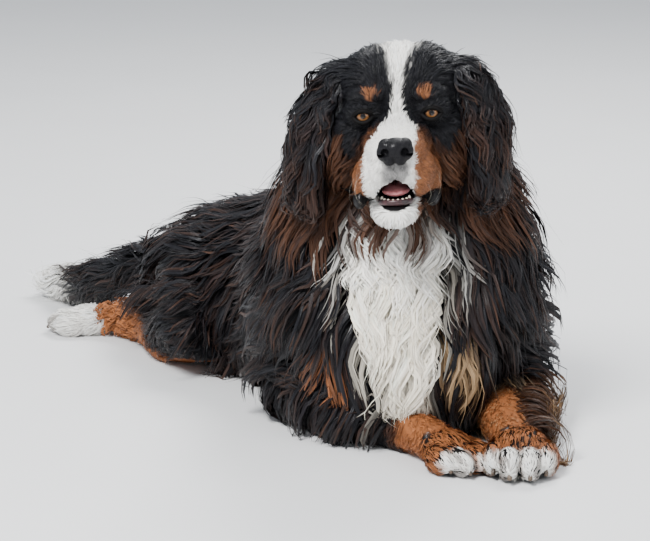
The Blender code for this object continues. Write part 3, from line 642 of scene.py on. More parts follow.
@dataclass(frozen=True)
class WetFinish:
    """Lids, tongue, gum, teeth and claws: a mottled colour, finely bumped, under moisture."""

    name: str
    dark: tuple[float, float, float]
    light: tuple[float, float, float]
    roughness: float
    wet: float
    grain: float = 500.0
    relief: float = 0.0004
    scatter: float = 0.0
    shine: float = 0.35

    def build(self) -> bpy.types.Material:
        """Makes the material."""
        shop = Shop(self.name, IOR=1.4, Coat_Weight=self.wet, Coat_Roughness=0.12,
                    Specular_IOR_Level=self.shine)
        shop.surface.inputs["Subsurface Weight"].default_value = self.scatter
        shop.surface.inputs["Subsurface Radius"].default_value = (0.004, 0.0015, 0.001)
        blotch = shop.noise(self.grain * 0.25).between(0.3, 0.7)
        shop.dress("Base Color", shop.mix(blotch, (*self.dark, 1), (*self.light, 1)))
        shop.dress("Roughness", self.roughness + blotch * 0.12)
        shop.bump(shop.noise(self.grain, 2.0), 0.6, self.relief)
        return shop.material


LID_RIM = WetFinish("lid_rim", dark=(0.003, 0.003, 0.003), light=(0.006, 0.005, 0.005), roughness=0.55,
                    wet=0.0, shine=0.08)
TONGUE = WetFinish("tongue", dark=(0.46, 0.14, 0.15), light=(0.60, 0.22, 0.22), roughness=0.34, wet=0.35,
                   grain=900, relief=0.0006, scatter=0.15)
ENAMEL = WetFinish("enamel", dark=(0.62, 0.54, 0.40), light=(0.78, 0.74, 0.63), roughness=0.20, wet=0.5,
                   grain=300)
GUM = WetFinish("gum", dark=(0.018, 0.011, 0.012), light=(0.060, 0.024, 0.026), roughness=0.3, wet=0.2)
CLAW_HORN = WetFinish("claw_horn", dark=(0.020, 0.015, 0.012), light=(0.12, 0.085, 0.06), roughness=0.35,
                      wet=0.1)


class Palette:
    """The coat's colours: shares of red, green and blue light that it reflects."""

    BLACK = np.array((0.0070, 0.0070, 0.0088))
    SMOKE = np.array((0.050, 0.048, 0.056))
    RUSSET = np.array((0.060, 0.028, 0.016))
    RUST = np.array((0.330, 0.115, 0.040))
    BROWN = np.array((0.066, 0.027, 0.013))
    WHITE = np.array((0.940, 0.915, 0.860))
    CREAM = np.array((0.910, 0.835, 0.690))
    STRAW = np.array((0.520, 0.340, 0.180))
    LIP = np.array((0.005, 0.0045, 0.005))


def blend(first: Array, second: Array, share: Array) -> Array:
    """Mixes colours point by point."""
    return first + (second - first) * share[:, None]


class Markings:
    """Where the coat is black, rust and white."""

    # Half width of the white blaze in mm, by height on the face in mm
    BLAZE_HEIGHTS = (-120, -90, -60, -40, -26, -14, -2, 10, 24, 36, 50, 64, 80, 100)
    BLAZE_WIDTHS = (33, 40, 42, 36, 27, 16, 6.5, 4.2, 4.2, 6, 9.5, 15, 19, 21)
    # Reach of the rust cheeks from the middle, in mm, by depth below the eyes in mm
    CHEEK_HEIGHTS = (18, 27, 56, 87, 110, 130, 150)
    CHEEK_LEFT = (20, 32, 62, 75, 70, 52, 30)
    CHEEK_RIGHT = (20, 34, 54, 75, 76, 60, 38)
    FACE_RUST = np.array((0.240, 0.092, 0.038))
    # Edges of the white bib, to the dog's right and left, by height
    BIB_HEIGHTS = (0.06, 0.10, 0.15, 0.19, 0.225, 0.26, 0.31, 0.36)
    BIB_RIGHT = (0.000, -0.006, -0.022, -0.036, -0.046, -0.052, -0.066, -0.072)
    BIB_LEFT = (0.028, 0.038, 0.044, 0.047, 0.046, 0.050, 0.064, 0.060)
    GAPS_OF_TOES = (-0.0215, 0.0, 0.0215)

    @staticmethod
    def all_black(points: Array) -> Array:
        """Black for every point."""
        return np.tile(Palette.BLACK, (len(points), 1))

    @classmethod
    def head(cls, points: Array) -> Array:
        """Blaze, brow spots, cheeks and lips."""
        x, y, z = in_head(points).T
        fray = ripple(points, 0.006, 1.0) * 3.0 + ripple(points, 0.018, 2.0) * 2.5
        side = np.abs(x) * 1000
        up = z * 974 + y * 225
        made = cls.all_black(points)
        brow = oval((side, 34.0, 8.2), (up, 23, 6.8)) + fray * 0.09
        made = blend(made, cls.FACE_RUST, smooth(1.5, 0.3, brow) * 0.85)
        outer_left = np.interp(-up, cls.CHEEK_HEIGHTS, cls.CHEEK_LEFT)
        outer_right = np.interp(-up, cls.CHEEK_HEIGHTS, cls.CHEEK_RIGHT)
        outer = np.where(x > 0, outer_left, outer_right)
        inside = smooth(11, -9, side - outer + fray * 2.2) * smooth(0.085, 0.055, y)
        made = blend(made, Palette.BROWN, smooth(22, 0, side - outer) * smooth(-55, -80, up) * 0.8)
        rust = blend(cls.FACE_RUST, Palette.BROWN, smooth(-16, 2, side - outer) * 0.7)
        made = blend(made, rust, inside * smooth(-14, -24, up + fray))
        half = np.interp(up, cls.BLAZE_HEIGHTS, cls.BLAZE_WIDTHS)
        half = np.where((x > 0) & (up < -20), np.minimum(half, 25), half)
        soft = 2.0 + smooth(20, 70, up) * 7
        blaze = smooth(1, -1, (side - half + fray * (1 + smooth(20, 70, up) * 1.6)) / soft)
        made = blend(made, Palette.WHITE, blaze * smooth(0.115, 0.085, y))
        beard = oval((side, 0, 21), (up, -78, 15)) + fray * 0.06
        made = blend(made, Palette.SMOKE, smooth(1.3, 0.5, beard) * 0.75)
        chin = smooth(-96, -100, z * 1000) * smooth(30, 22, side + fray * 1.6)
        made = blend(made, Palette.WHITE, chin)
        lip = smooth(-88, -95, z * 1000 + fray * 0.6) * smooth(27, 33, side)
        return blend(made, Palette.LIP, lip * smooth(0.020, 0.000, y))

    @classmethod
    def cheek(cls, points: Array) -> Array:
        """The head's colours, browner and darker."""
        return blend(cls.head(points), Palette.BROWN, np.full(len(points), 0.85)) * 0.9

    @classmethod
    def ear(cls, points: Array) -> Array:
        """Black, a little brown on the outer face."""
        p = in_head(points)
        tinge = smooth(0.03, -0.02, p[:, 2]) * smooth(0.2, 0.9, ripple(points, 0.020, 4.0) + 0.4)
        return blend(cls.all_black(points), Palette.BROWN, tinge * 0.35)

    @classmethod
    def bib(cls, points: Array) -> Array:
        """The white of throat and chest, between the two edges of the bib."""
        x, y, z = points.T
        fray = ripple(points, 0.020, 5.0) * 0.012 + ripple(points, 0.007, 6.0) * 0.004
        right = np.interp(z, cls.BIB_HEIGHTS, cls.BIB_RIGHT)
        left = np.interp(z, cls.BIB_HEIGHTS, cls.BIB_LEFT)
        across = x + fray
        inside = smooth(-0.006, 0.006, across - right) * smooth(0.006, -0.006, across - left)
        inside *= smooth(0.352, 0.334, z + fray)
        return inside * smooth(0.0, -0.045, y) * smooth(0.075, 0.105, z + fray)

    @classmethod
    def body(cls, points: Array) -> Array:
        """Black body with the bib, and brown, rust and straw beside it."""
        x, y, z = points.T
        made = cls.all_black(points)
        brown = smooth(0.1, 0.9, ripple(points, 0.035, 7.0) + ripple(points, 0.012, 8.0) * 0.4)
        made = blend(made, Palette.BROWN, brown * 0.22)
        before = smooth(0.03, -0.02, y)
        for middle in (-0.074, 0.094):
            ruff = oval((x, middle, 0.034), (z, 0.390, 0.045))
            made = blend(made, Palette.BROWN, smooth(1.4, 0.5, ruff) * before * 0.8)
        throat = smooth(0.050, 0.030, np.abs(x - 0.005)) * smooth(0.325, 0.345, z)
        made = blend(made, Palette.BROWN, throat * before * 0.7)
        spot = oval((x, -0.074, 0.020), (z, 0.165, 0.022))
        front = smooth(-0.04, -0.08, y)
        made = blend(made, Palette.RUST, smooth(1.3, 0.5, spot) * front * 0.55)
        streak = oval((x, 0.074, 0.020), (z, 0.180, 0.035))
        made = blend(made, Palette.STRAW, smooth(1.3, 0.4, streak) * front * 0.6)
        # Creamier toward the bottom of the bib, and in random patches.
        creaminess = np.clip(smooth(0.36, 0.20, z) + ripple(points, 0.016, 13.0) * 0.5, 0, 1)
        cream = blend(Palette.WHITE, Palette.CREAM, creaminess)
        return blend(made, cream, cls.bib(points))

    @classmethod
    def foreleg(cls, points: Array) -> Array:
        """Black above, rust toward the paws."""
        fray = ripple(points, 0.012, 9.0) * 0.008
        x, y, _ = points.T
        on_left = smooth(-0.020, -0.050, y + fray)
        on_right = smooth(-0.008, 0.014, x + fray) * smooth(-0.050, -0.070, y + fray)
        rust = np.where(x > BETWEEN_FORELEGS, on_left, on_right)
        return blend(cls.all_black(points), Palette.RUST, rust)

    @classmethod
    def hindleg(cls, points: Array) -> Array:
        """Black thigh, rust below the hock and along the underside."""
        _, y, z = points.T
        fray = ripple(points, 0.014, 10.0) * 0.010
        rust = smooth(0.072, 0.048, z + fray) * smooth(0.36, 0.42, y + fray)
        rust = np.maximum(rust, smooth(0.026, 0.016, z + fray))
        return blend(cls.all_black(points), Palette.RUST, rust)

    @classmethod
    def paw(cls, points: Array) -> Array:
        """White toes, rust behind them, with painted shade in the gaps between the toes."""
        made = np.tile(Palette.WHITE, (len(points), 1))
        for x, y, heading, size in PAWS.values():
            p = points - np.array((x, y, 0.0))
            near = (np.abs(p[:, 0]) < 0.08) & (np.abs(p[:, 1]) < 0.08)
            across = (p[:, 0] * math.cos(heading) + p[:, 1] * math.sin(heading)) / size
            back = (-p[:, 0] * math.sin(heading) + p[:, 1] * math.cos(heading)) / size
            fray = ripple(points, 0.008, 11.0) * 0.005
            rust = smooth(-0.026, -0.010, back + fray) * near * (y < 0)
            made = blend(made, Palette.RUST, rust)
            # Painted shade: brown darkening along the gaps between the toes.
            for gap in cls.GAPS_OF_TOES:
                slit = smooth(0.0036, 0.0012, np.abs(across - gap)) * smooth(0.010, -0.004, back + fray * 2)
                made = blend(made, Palette.BROWN, slit * near * 0.55)
        return made

    @classmethod
    def tail(cls, points: Array) -> Array:
        """Black with a white tip."""
        tip = smooth(0.655, 0.690, points[:, 1] + ripple(points, 0.02, 12.0) * 0.012)
        return blend(cls.all_black(points), Palette.WHITE, tip)


def station_line(stations: Sequence[Station]) -> Array:
    """The centres of a line of stations."""
    return np.array([s[:3] for s in stations])


def direction_at(point: Vector, stations: Sequence[Station]) -> Vector:
    """The direction of a line of stations beside a point."""
    spots = [Vector(s[:3]) for s in stations]
    index = min(range(len(spots)), key=lambda i: (spots[i] - point).length_squared)
    return (spots[min(index + 1, len(spots) - 1)] - spots[max(index - 1, 0)]).normalized()


class Lie:
    """The way the hair lies, by region."""

    @staticmethod
    def body(point: Vector, normal: Vector) -> Vector:
        """Back and down, and straight down the chest."""
        back = direction_at(point, TORSO)
        front = held(-point.y / 0.08)
        return back * (0.75 - 0.6 * front) - UP * (0.55 + 0.6 * front)

    @staticmethod
    def neck(point: Vector, normal: Vector) -> Vector:
        """Down, swept back at the sides and over the nape."""
        back = held((point.y + 0.02) / 0.10)
        return Vector((0.35 * normal.x, 0.8 * back, -1))

    @staticmethod
    def bib(point: Vector, normal: Vector) -> Vector:
        """Down the chest, closing toward its middle."""
        return Vector(((0.012 - point.x) * 3.0, -0.15, -1))

    @staticmethod
    def head(point: Vector, normal: Vector) -> Vector:
        """From the nose back over the muzzle, out round the eyes, and down the cheeks."""
        p = HEAD.inverted() @ point
        away = Vector((p.x * 0.9, p.y + 0.125, (p.z + 0.030) * 0.75))
        for side in (-1, 1):
            from_eye = p - Vector((side * 0.036, -0.010, 0.000))
            away += from_eye.normalized() * 0.10 * math.exp(-((from_eye.length / 0.022) ** 2))
        down = held((abs(p.x) - 0.035) / 0.03) * held((0.02 - p.z) / 0.05)
        crown = held((p.z - 0.055) / 0.03)
        flank = held((abs(p.x) - 0.038) / 0.03) * held((p.z - 0.012) / 0.03)
        away = away.normalized() + Vector((0, 0, -1.1)) * down + Vector((0.5 * p.x / 0.05, 0.5, -0.2)) * crown
        away += Vector((0.9 * math.copysign(1, p.x), 0.10, -1.3)) * flank
        return (HEAD.to_3x3() @ away).normalized()

    @staticmethod
    def cheek(point: Vector, normal: Vector) -> Vector:
        """Down and out from the cheek."""
        return Vector((math.copysign(0.55, point.x), 0.10, -1))

    @staticmethod
    def ear(point: Vector, normal: Vector) -> Vector:
        """Down the ear and a little outward."""
        spread = 0.22 if (HEAD.inverted() @ point).z < -0.05 else 0.10
        return Vector((math.copysign(spread, point.x) + 0.15 * normal.x, 0.05, -1))

    @staticmethod
    def foreleg(point: Vector, normal: Vector) -> Vector:
        """Down the leg, and out behind it over the floor."""
        if point.x > BETWEEN_FORELEGS:
            stations, rear, out = FORELEG_LEFT, held(normal.x), Vector((0.9, 0.4, -0.4))
        else:
            stations, rear = FORELEG_RIGHT, held(-0.6 * normal.x - 0.6 * normal.y)
            out = Vector((-0.5, 0.4, -0.4))
        return direction_at(point, stations) * (1 - 0.8 * rear) + out * rear

    @staticmethod
    def feather(point: Vector, normal: Vector) -> Vector:
        """Out to the side from the outer face of the forearm, and down to the floor."""
        return Vector((1.0, 0.10, -0.40))

    @staticmethod
    def hindleg(point: Vector, normal: Vector) -> Vector:
        """Down the thigh toward the hock."""
        return Vector((-0.5 if point.x < -0.2 else 0.4, 0.7, -0.5))

    @staticmethod
    def paw(point: Vector, normal: Vector) -> Vector:
        """Forward over the toes."""
        x, y, heading, _ = min(PAWS.values(), key=lambda p: (p[0] - point.x) ** 2 + (p[1] - point.y) ** 2)
        return Vector((math.sin(heading), -math.cos(heading), -0.35))

    @staticmethod
    def tail(point: Vector, normal: Vector) -> Vector:
        """Along the tail, spreading and sinking."""
        return direction_at(point, TAIL) + normal * 0.3 - UP * 0.10


class Tips(Enum):
    """How the ends of the hair are tinged."""

    PLAIN = "plain"
    RUSSET = "russet"
    STRAW = "straw"


@dataclass
class Growth:
    """The hair of one region of the skin.

    Attributes:
        name: the region.
        lie: direction of growth.
        markings: colours at the roots.
        length: hair length at points.
        depth: height of the tips over the skin, at points.
        spacing: distance between guide hairs.
        density: tufts per square metre.
        width: width of a tuft at points.
        rings: rings along a tuft.
        wave: sway of the locks.
        waves: number of waves in a lock.
        clump: how far tufts gather into locks.
        keep: which roots may carry hair.
        line: the line that the region's unwrap goes along.
        tips: tinge of the ends.
        tile: the region's place in the unwrap.
        flatness: thickness of a tuft over its half width.
        roll: how far tufts turn out of the coat's face.
        wisps: share of thin tufts that stand out of the coat.
        region: the flesh that carries it, if not the one of its name.
    """

    name: str
    lie: Callable[[Vector, Vector], Vector]
    markings: Callable[[Array], Array]
    length: Callable[[Array], Array]
    depth: Callable[[Array], Array]
    spacing: float
    density: float
    width: Callable[[Array], Array]
    rings: int
    wave: float
    waves: float
    clump: float
    keep: Callable[[Array, Array], Array]
    line: Sequence[Station]
    tips: Tips = Tips.PLAIN
    tile: int = 0
    flatness: float = 0.42
    roll: float = 0.30
    wisps: float = 0.12
    region: str = ""


def same(value: float) -> Callable[[Array], Array]:
    """A field that is the same everywhere."""
    return lambda points: np.full(len(points), value)


def plain(colour: Array) -> Callable[[Array], Array]:
    """One colour everywhere."""
    return lambda points: np.tile(colour, (len(points), 1))


def anywhere(points: Array, normals: Array) -> Array:
    """Keeps every root that isn't under the dog."""
    return normals[:, 2] > -0.80


class Coat:
    """Grows the tufts of one region over the skin and makes its mesh."""

    GUIDE_RINGS = 8
    # Height over the floor of a tuft's line, and of its lowest corner
    FLOOR = 0.0012
    LOWEST = 0.0006
    # How far tips may pass the box of the solids
    BEYOND = 0.026
    # Size of the patches whose locks sway together
    SWAY_PATCH = 0.080
    WISP_WIDTH = 0.25
    WISP_SCATTER = 0.10
    SCATTER = 0.035
    STRANDS = 8.0
    SHARPEST = math.radians(70)
    MOST_TRIANGLES = 190000
    # Guides are looked up for this many tufts at a time
    BLOCK = 4000
    # Size of a tuft in the unwrap, tiles along its side, and a tile's used length and margin
    PATCH = 0.003
    TILES = 5
    TILE_SPAN = 0.18
    TILE_MARGIN = 0.01
    # Colour and rarity of tinged ends
    TINGES = {Tips.RUSSET: (Palette.RUSSET, 3.5), Tips.STRAW: (Palette.STRAW, 2.0)}

    def __init__(self, growth: Growth, region: Body, skin: BVHTree, others: Sequence[BVHTree],
                 seed: int) -> None:
        """Holds what the hair grows from.

        Args:
            growth: the region's hair.
            region: the flesh that carries the roots.
            skin: the whole skin, which the hair follows.
            others: flesh of other regions, where no root may be.
            seed: for this region's chances.
        """
        self.growth = growth
        self.skin = skin
        self.others = others
        self.wispy = np.zeros(0, dtype=bool)
        self.dice = np.random.default_rng(seed)
        mesh = region.data
        mesh.calc_loop_triangles()
        self.verts = rows_of(mesh.vertices, "co")
        self.normals = rows_of(mesh.vertex_normals, "vector")
        self.triangles = rows_of(mesh.loop_triangles, "vertices", np.int32)

    def roots(self) -> tuple[Array, Array]:
        """Chances roots evenly over the region, and drops those that are covered."""
        a, b, c = (self.verts[self.triangles[:, k]] for k in range(3))
        areas = 0.5 * np.linalg.norm(np.cross(b - a, c - a), axis=1)
        count = int(areas.sum() * self.growth.density)
        chosen = self.dice.choice(len(areas), size=count, p=areas / areas.sum())
        u, v = self.dice.random(count), self.dice.random(count)
        u, v = np.where(u + v > 1, 1 - u, u), np.where(u + v > 1, 1 - v, v)
        weights = np.stack([1 - u - v, u, v], axis=1)[:, :, None]
        corners = self.triangles[chosen]
        points = (self.verts[corners] * weights).sum(axis=1)
        normals = (self.normals[corners] * weights).sum(axis=1)
        normals /= np.linalg.norm(normals, axis=1)[:, None]
        open_air = self.growth.keep(points, normals)
        points, normals = points[open_air], normals[open_air]
        outside = points + normals * 0.001
        free = np.array([not any(self.under(tree, p) for tree in self.others) for p in outside], dtype=bool)
        most = self.MOST_TRIANGLES // len(self.faces(self.growth.rings))
        return points[free][:most], normals[free][:most]

    @staticmethod
    def under(tree: BVHTree, point: Array) -> bool:
        """Whether a point lies inside other flesh."""
        found, outward, _, _ = tree.find_nearest(point, 0.06)
        return found is not None and (Vector(point) - found).dot(outward) < 0

    @staticmethod
    def spread(points: Array, spacing: float) -> Array:
        """Indices of points at least a spacing apart."""
        cells: dict[tuple[int, int, int], list[int]] = {}
        kept = []
        for index, point in enumerate(points):
            key = tuple(int(v) for v in np.floor(point / spacing))
            around = (cells.get((key[0] + i, key[1] + j, key[2] + k), ())
                      for i in (-1, 0, 1) for j in (-1, 0, 1) for k in (-1, 0, 1))
            gaps = (points[n] - point for group in around for n in group)
            if all(np.dot(gap, gap) > spacing**2 for gap in gaps):
                cells.setdefault(key, []).append(index)
                kept.append(index)
        return np.array(kept)

    def guide(self, root: Vector, normal: Vector, length: float, depth: float) -> tuple[list[Vector], Vector]:
        """Grows one guide hair over the skin.

        Args:
            root: where it starts.
            normal: the skin's normal there.
            length: its length.
            depth: the height of its tip.

        Returns:
            Its points and its first heading.
        """
        growth = self.growth
        size = length * self.dice.uniform(0.85, 1.15)
        phase = 6.0 * float(ripple(np.array([root]), self.SWAY_PATCH, 3.0)[0]) + self.dice.uniform(-0.5, 0.5)
        heading = growth.lie(root, normal)
        first = (heading - normal * heading.dot(normal)).normalized()
        heading, point, spots = first, root, []
        for k in range(self.GUIDE_RINGS + 1):
            share = k / self.GUIDE_RINGS
            heading = (heading - normal * heading.dot(normal)).normalized()
            side = heading.cross(normal)
            sway = growth.wave * math.sin(phase + 2 * math.pi * growth.waves * share) * min(1, share * 2)
            lift = depth * (1 - (1 - share) ** 2.2) * self.dice.uniform(0.95, 1.05)
            spots.append(point + normal * lift + side * sway)
            found, outward, _, _ = self.skin.find_nearest(point + heading * (size / self.GUIDE_RINGS))
            if normal.dot(outward) < 0.2:
                outward = normal
            normal = (normal * 0.5 + outward * 0.5).normalized()
            point = found
            heading = (heading * 0.6 + growth.lie(point, normal).normalized() * 0.4).normalized()
        return spots, first

    def grow(self) -> tuple[Array, Array, Array]:
        """Grows every tuft's line.

        Returns:
            Roots, their normals, and the points of each tuft's line.
        """
        growth = self.growth
        roots, normals = self.roots()
        order = self.dice.permutation(len(roots))
        chosen = order[self.spread(roots[order], growth.spacing)]
        lengths, depths = growth.length(roots[chosen]), growth.depth(roots[chosen])
        curves, headings = [], []
        for index, length, depth in zip(chosen, lengths, depths):
            spots, first = self.guide(Vector(roots[index]), Vector(normals[index]), length, depth)
            curves.append(spots)
            headings.append(first)
        curves, headings = np.array(curves), np.array(headings)
        sides = np.cross(headings, normals[chosen])
        frames = np.stack([headings, sides, normals[chosen]], axis=1)
        local = np.einsum("gki,gji->gkj", curves - roots[chosen][:, None], frames)
        steps = np.linspace(0, self.GUIDE_RINGS, growth.rings + 1)
        low = np.minimum(steps.astype(int), self.GUIDE_RINGS - 1)
        part = (steps - low)[None, :, None]
        local = local[:, low] * (1 - part) + local[:, low + 1] * part
        curves = curves[:, low] * (1 - part) + curves[:, low + 1] * part
        near, weights = self.nearest(roots, roots[chosen])
        heading = (headings[near] * weights[:, :, None]).sum(axis=1)
        heading -= normals * (heading * normals).sum(axis=1)[:, None]
        heading /= np.maximum(np.linalg.norm(heading, axis=1), 1e-9)[:, None]
        side = np.cross(heading, normals)
        offsets = (local[near] * weights[:, :, None, None]).sum(axis=1)
        sizes = self.dice.uniform(0.72, 1.12, len(roots))[:, None, None]
        own = np.stack([heading, side, normals], axis=1)
        lines = roots[:, None] + np.einsum("nkj,nji->nki", offsets * sizes, own)
        share = np.linspace(0, 1, growth.rings + 1)[None, :, None]
        gather = growth.clump * self.dice.uniform(0.6, 1.1, len(roots))[:, None, None] * share**1.5
        shift = curves[near[:, 0]] - lines
        lines += shift * np.clip(gather, 0, 1)
        self.wispy = self.dice.random(len(roots)) < growth.wisps
        scatter = np.where(self.wispy, self.WISP_SCATTER, self.SCATTER) * growth.length(roots)
        lines += self.dice.normal(0, 1, (len(roots), 1, 3)) * scatter[:, None, None] * share**1.3
        low, high = np.array(FRAME_BOX[0]) - self.BEYOND, np.array(FRAME_BOX[1]) + self.BEYOND
        low[2] = self.FLOOR
        return roots, normals, np.clip(lines, low, high)

    @staticmethod
    def nearest(points: Array, guides: Array) -> tuple[Array, Array]:
        """The three nearest guides of each point and their shares."""
        count = min(3, len(guides))
        found = np.empty((len(points), count), dtype=int)
        gaps = np.empty((len(points), count))
        squares = (guides**2).sum(axis=1)
        for start in range(0, len(points), Coat.BLOCK):
            part = slice(start, start + Coat.BLOCK)
            block = points[part]
            gap = (block**2).sum(axis=1)[:, None] + squares[None] - 2 * block @ guides.T
            pick = np.argpartition(gap, count - 1, axis=1)[:, :count]
            value = np.take_along_axis(gap, pick, axis=1)
            order = np.argsort(value, axis=1)
            found[part] = np.take_along_axis(pick, order, axis=1)
            gaps[part] = np.take_along_axis(value, order, axis=1)
        shares = 1 / (np.maximum(gaps, 0) + 1e-6) ** 1.6
        return found, shares / shares.sum(axis=1)[:, None]

    def unwrap(self, points: Array) -> Array:
        """Places on the region's own unwrap: along its line and round it, in its tile."""
        line = station_line(self.growth.line)
        if (self.growth.region or self.growth.name) in ("head", "ear_left", "ear_right", "jaw"):
            points = in_head(points)
        spans = line[1:] - line[:-1]
        lengths = np.linalg.norm(spans, axis=1)
        starts = np.concatenate([[0], np.cumsum(lengths)])
        best = np.full(len(points), np.inf)
        along = np.zeros(len(points))
        turn = np.zeros(len(points))
        for k, span in enumerate(spans):
            t = np.clip(((points - line[k]) @ span) / lengths[k] ** 2, 0, 1)
            out = points - line[k] - t[:, None] * span
            gap = (out**2).sum(axis=1)
            axis = span / lengths[k]
            side = np.cross(axis, (0.0, 0.35, 1.0) if abs(axis[2]) < 0.9 else (0.0, 1.0, 0.2))
            lift = np.cross(side, axis)
            closer = gap < best
            best = np.where(closer, gap, best)
            along = np.where(closer, (starts[k] + t * lengths[k]) / starts[-1], along)
            turn = np.where(closer, np.arctan2(out @ side, out @ lift) / (2 * math.pi) + 0.5, turn)
        row, column = divmod(self.growth.tile, self.TILES)
        tile = np.array((column, row)) / self.TILES
        return tile + np.stack([along, turn], axis=1) * self.TILE_SPAN + self.TILE_MARGIN

    def tints(self, roots: Array) -> Array:
        """Colours along each tuft, darkened toward the root by painted shade."""
        growth = self.growth
        rings = growth.rings + 1
        base = growth.markings(roots)
        pale = smooth(0.10, 0.40, base.mean(axis=1))
        share = np.linspace(0, 1, rings)
        # Painted shade: each tuft is darker toward its root, less so where the hair is pale.
        bright = 0.52 * pale[:, None]
        painted_root_shade = 0.45 + bright + (0.55 - bright) * np.clip(share * 1.8, 0, 1)[None]
        lightness = np.exp(self.dice.normal(0, 1, len(roots)) * (0.20 - 0.14 * pale))
        colours = base[:, None] * (painted_root_shade * lightness[:, None])[:, :, None]
        if growth.tips in self.TINGES:
            tinge, rarity = self.TINGES[growth.tips]
            strength = self.dice.random(len(roots)) ** rarity * (1 - pale) * 0.9
            reach = np.clip((share - 0.35) / 0.65, 0, 1)
            colours += (tinge - colours) * (strength[:, None] * reach[None])[:, :, None]
        return np.clip(colours, 0.002, 0.95)

    def build(self) -> Body:
        """Grows the tufts and makes one mesh of them.

        Returns:
            The coat piece, with its tint and its unwrap.
        """
        growth = self.growth
        roots, normals, lines = self.grow()
        rings = growth.rings
        count = len(roots)
        width = growth.width(roots) * self.dice.uniform(0.7, 1.25, count)
        width *= np.where(self.wispy, self.WISP_WIDTH, 1.0)
        ahead = np.empty_like(lines)
        ahead[:, 1:-1] = lines[:, 2:] - lines[:, :-2]
        ahead[:, 0] = lines[:, 1] - lines[:, 0]
        ahead[:, -1] = lines[:, -1] - lines[:, -2]
        ahead /= np.maximum(np.linalg.norm(ahead, axis=2), 1e-9)[:, :, None]
        out = normals[:, None] - ahead * (normals[:, None] * ahead).sum(axis=2)[:, :, None]
        out /= np.maximum(np.linalg.norm(out, axis=2), 1e-6)[:, :, None]
        side = np.cross(ahead, out)
        roll = self.dice.normal(0, growth.roll, count)[:, None, None]
        side, out = side * np.cos(roll) + out * np.sin(roll), out * np.cos(roll) - side * np.sin(roll)
        share = np.linspace(0, 1, rings + 1)[:-1]
        profile = np.where(share < 0.25, 0.6 + 1.6 * share, 1 - ((share - 0.25) / 0.75) ** 1.6 * 0.85)
        half = (0.5 * width[:, None] * profile[None])[:, :, None]
        body, tips = lines[:, :-1], lines[:, -1:]
        thick = half * growth.flatness
        aside, lift = side[:, :-1] * half, out[:, :-1] * thick
        corners = np.stack([body + aside - lift * 0.3, body + lift, body - aside - lift * 0.3], axis=2)
        spots = np.concatenate([corners.reshape(count, rings * 3, 3), tips], axis=1)
        spots[:, :, 2] = np.maximum(spots[:, :, 2], self.LOWEST)
        faces = self.faces(rings)
        size = rings * 3 + 1
        index = (np.array(faces)[None] + (np.arange(count) * size)[:, None, None]).reshape(-1, 3)
        tints = self.tints(roots)
        colours = np.concatenate([np.repeat(tints[:, :-1], 3, axis=1), tints[:, -1:]], axis=1)
        across = np.concatenate([np.tile((0.0, 0.5, 1.0), rings), [0.5]]) - 0.5
        along = np.concatenate([np.repeat(share, 3), [1.0]]) - 0.5
        patch = np.stack([across, along], axis=1) * self.PATCH
        places = self.unwrap(roots)[:, None] + patch[None]
        obj = mesh_from(f"coat_{growth.name}", spots.reshape(-1, 3), index)
        obj.data.set_sharp_from_angle(angle=self.SHARPEST)
        paint(obj, "tint", colours.reshape(-1, 3))
        self.mark_strands(obj, count, across, along)
        layer = obj.data.uv_layers.new(name="OFBake")
        layer.data.foreach_set("uv", places.reshape(-1, 2)[index.reshape(-1)].astype(np.float32).ravel())
        log.info("%s: %d tufts, %d triangles", obj.name, count, len(index))
        return obj

    def mark_strands(self, obj: Body, count: int, across: Array, along: Array) -> None:
        """Stores where each vertex is across and along its tuft, for the strands in its finish."""
        own = self.dice.random(count) * 500
        strand = np.empty((count, len(across), 3))
        strand[:, :, 0] = across[None] * self.STRANDS
        strand[:, :, 1] = along[None] * 1.5
        strand[:, :, 2] = own[:, None]
        layer = obj.data.attributes.new("strand", "FLOAT_VECTOR", "POINT")
        layer.data.foreach_set("vector", strand.astype(np.float32).ravel())

    @staticmethod
    def faces(rings: int) -> list[tuple[int, int, int]]:
        """The triangles of one tuft: a closed three-sided blade."""
        made = [(0, 1, 2)]
        for i in range(rings - 1):
            for k in range(3):
                a, b = i * 3 + k, i * 3 + (k + 1) % 3
                made += [(a, a + 3, b + 3), (a, b + 3, b)]
        ring, tip = (rings - 1) * 3, rings * 3
        return made + [(ring + k, tip, ring + (k + 1) % 3) for k in range(3)]


def mesh_from(name: str, spots: Array, triangles: Array) -> Body:
    """A smooth-shaded object from arrays of corners and triangles."""
    mesh = bpy.data.meshes.new(name)
    mesh.vertices.add(len(spots))
    mesh.vertices.foreach_set("co", spots.astype(np.float32).ravel())
    mesh.loops.add(triangles.size)
    mesh.loops.foreach_set("vertex_index", triangles.astype(np.int32).ravel())
    mesh.polygons.add(len(triangles))
    mesh.polygons.foreach_set("loop_start", np.arange(0, triangles.size, 3, dtype=np.int32))
    mesh.polygons.foreach_set("use_smooth", np.ones(len(triangles), dtype=bool))
    mesh.update(calc_edges=True)
    obj = bpy.data.objects.new(name, mesh)
    bpy.context.scene.collection.objects.link(obj)
    return obj


def paint(obj: Body, name: str, colours: Array) -> None:
    """Gives a mesh a colour at each vertex."""
    layer = obj.data.color_attributes.new(name=name, type="FLOAT_COLOR", domain="POINT")
    full = np.concatenate([colours, np.ones((len(colours), 1))], axis=1).astype(np.float32)
    layer.data.foreach_set("color", full.ravel())


def rows_of(items: Any, name: str, kind: type = float) -> Array:
    """The three numbers that each of a mesh's items has under a name."""
    values = np.empty(len(items) * 3, dtype=kind)
    items.foreach_get(name, values)
    return values.reshape(-1, 3)


def tree_of(obj: Body) -> BVHTree:
    """A search tree over an object's faces."""
    work = bmesh.new()
    work.from_mesh(obj.data)
    tree = BVHTree.FromBMesh(work)
    work.free()
    return tree


def count_triangles(obj: Body) -> int:
    """The triangles that an object's faces make."""
    return sum(len(p.vertices) - 2 for p in obj.data.polygons)


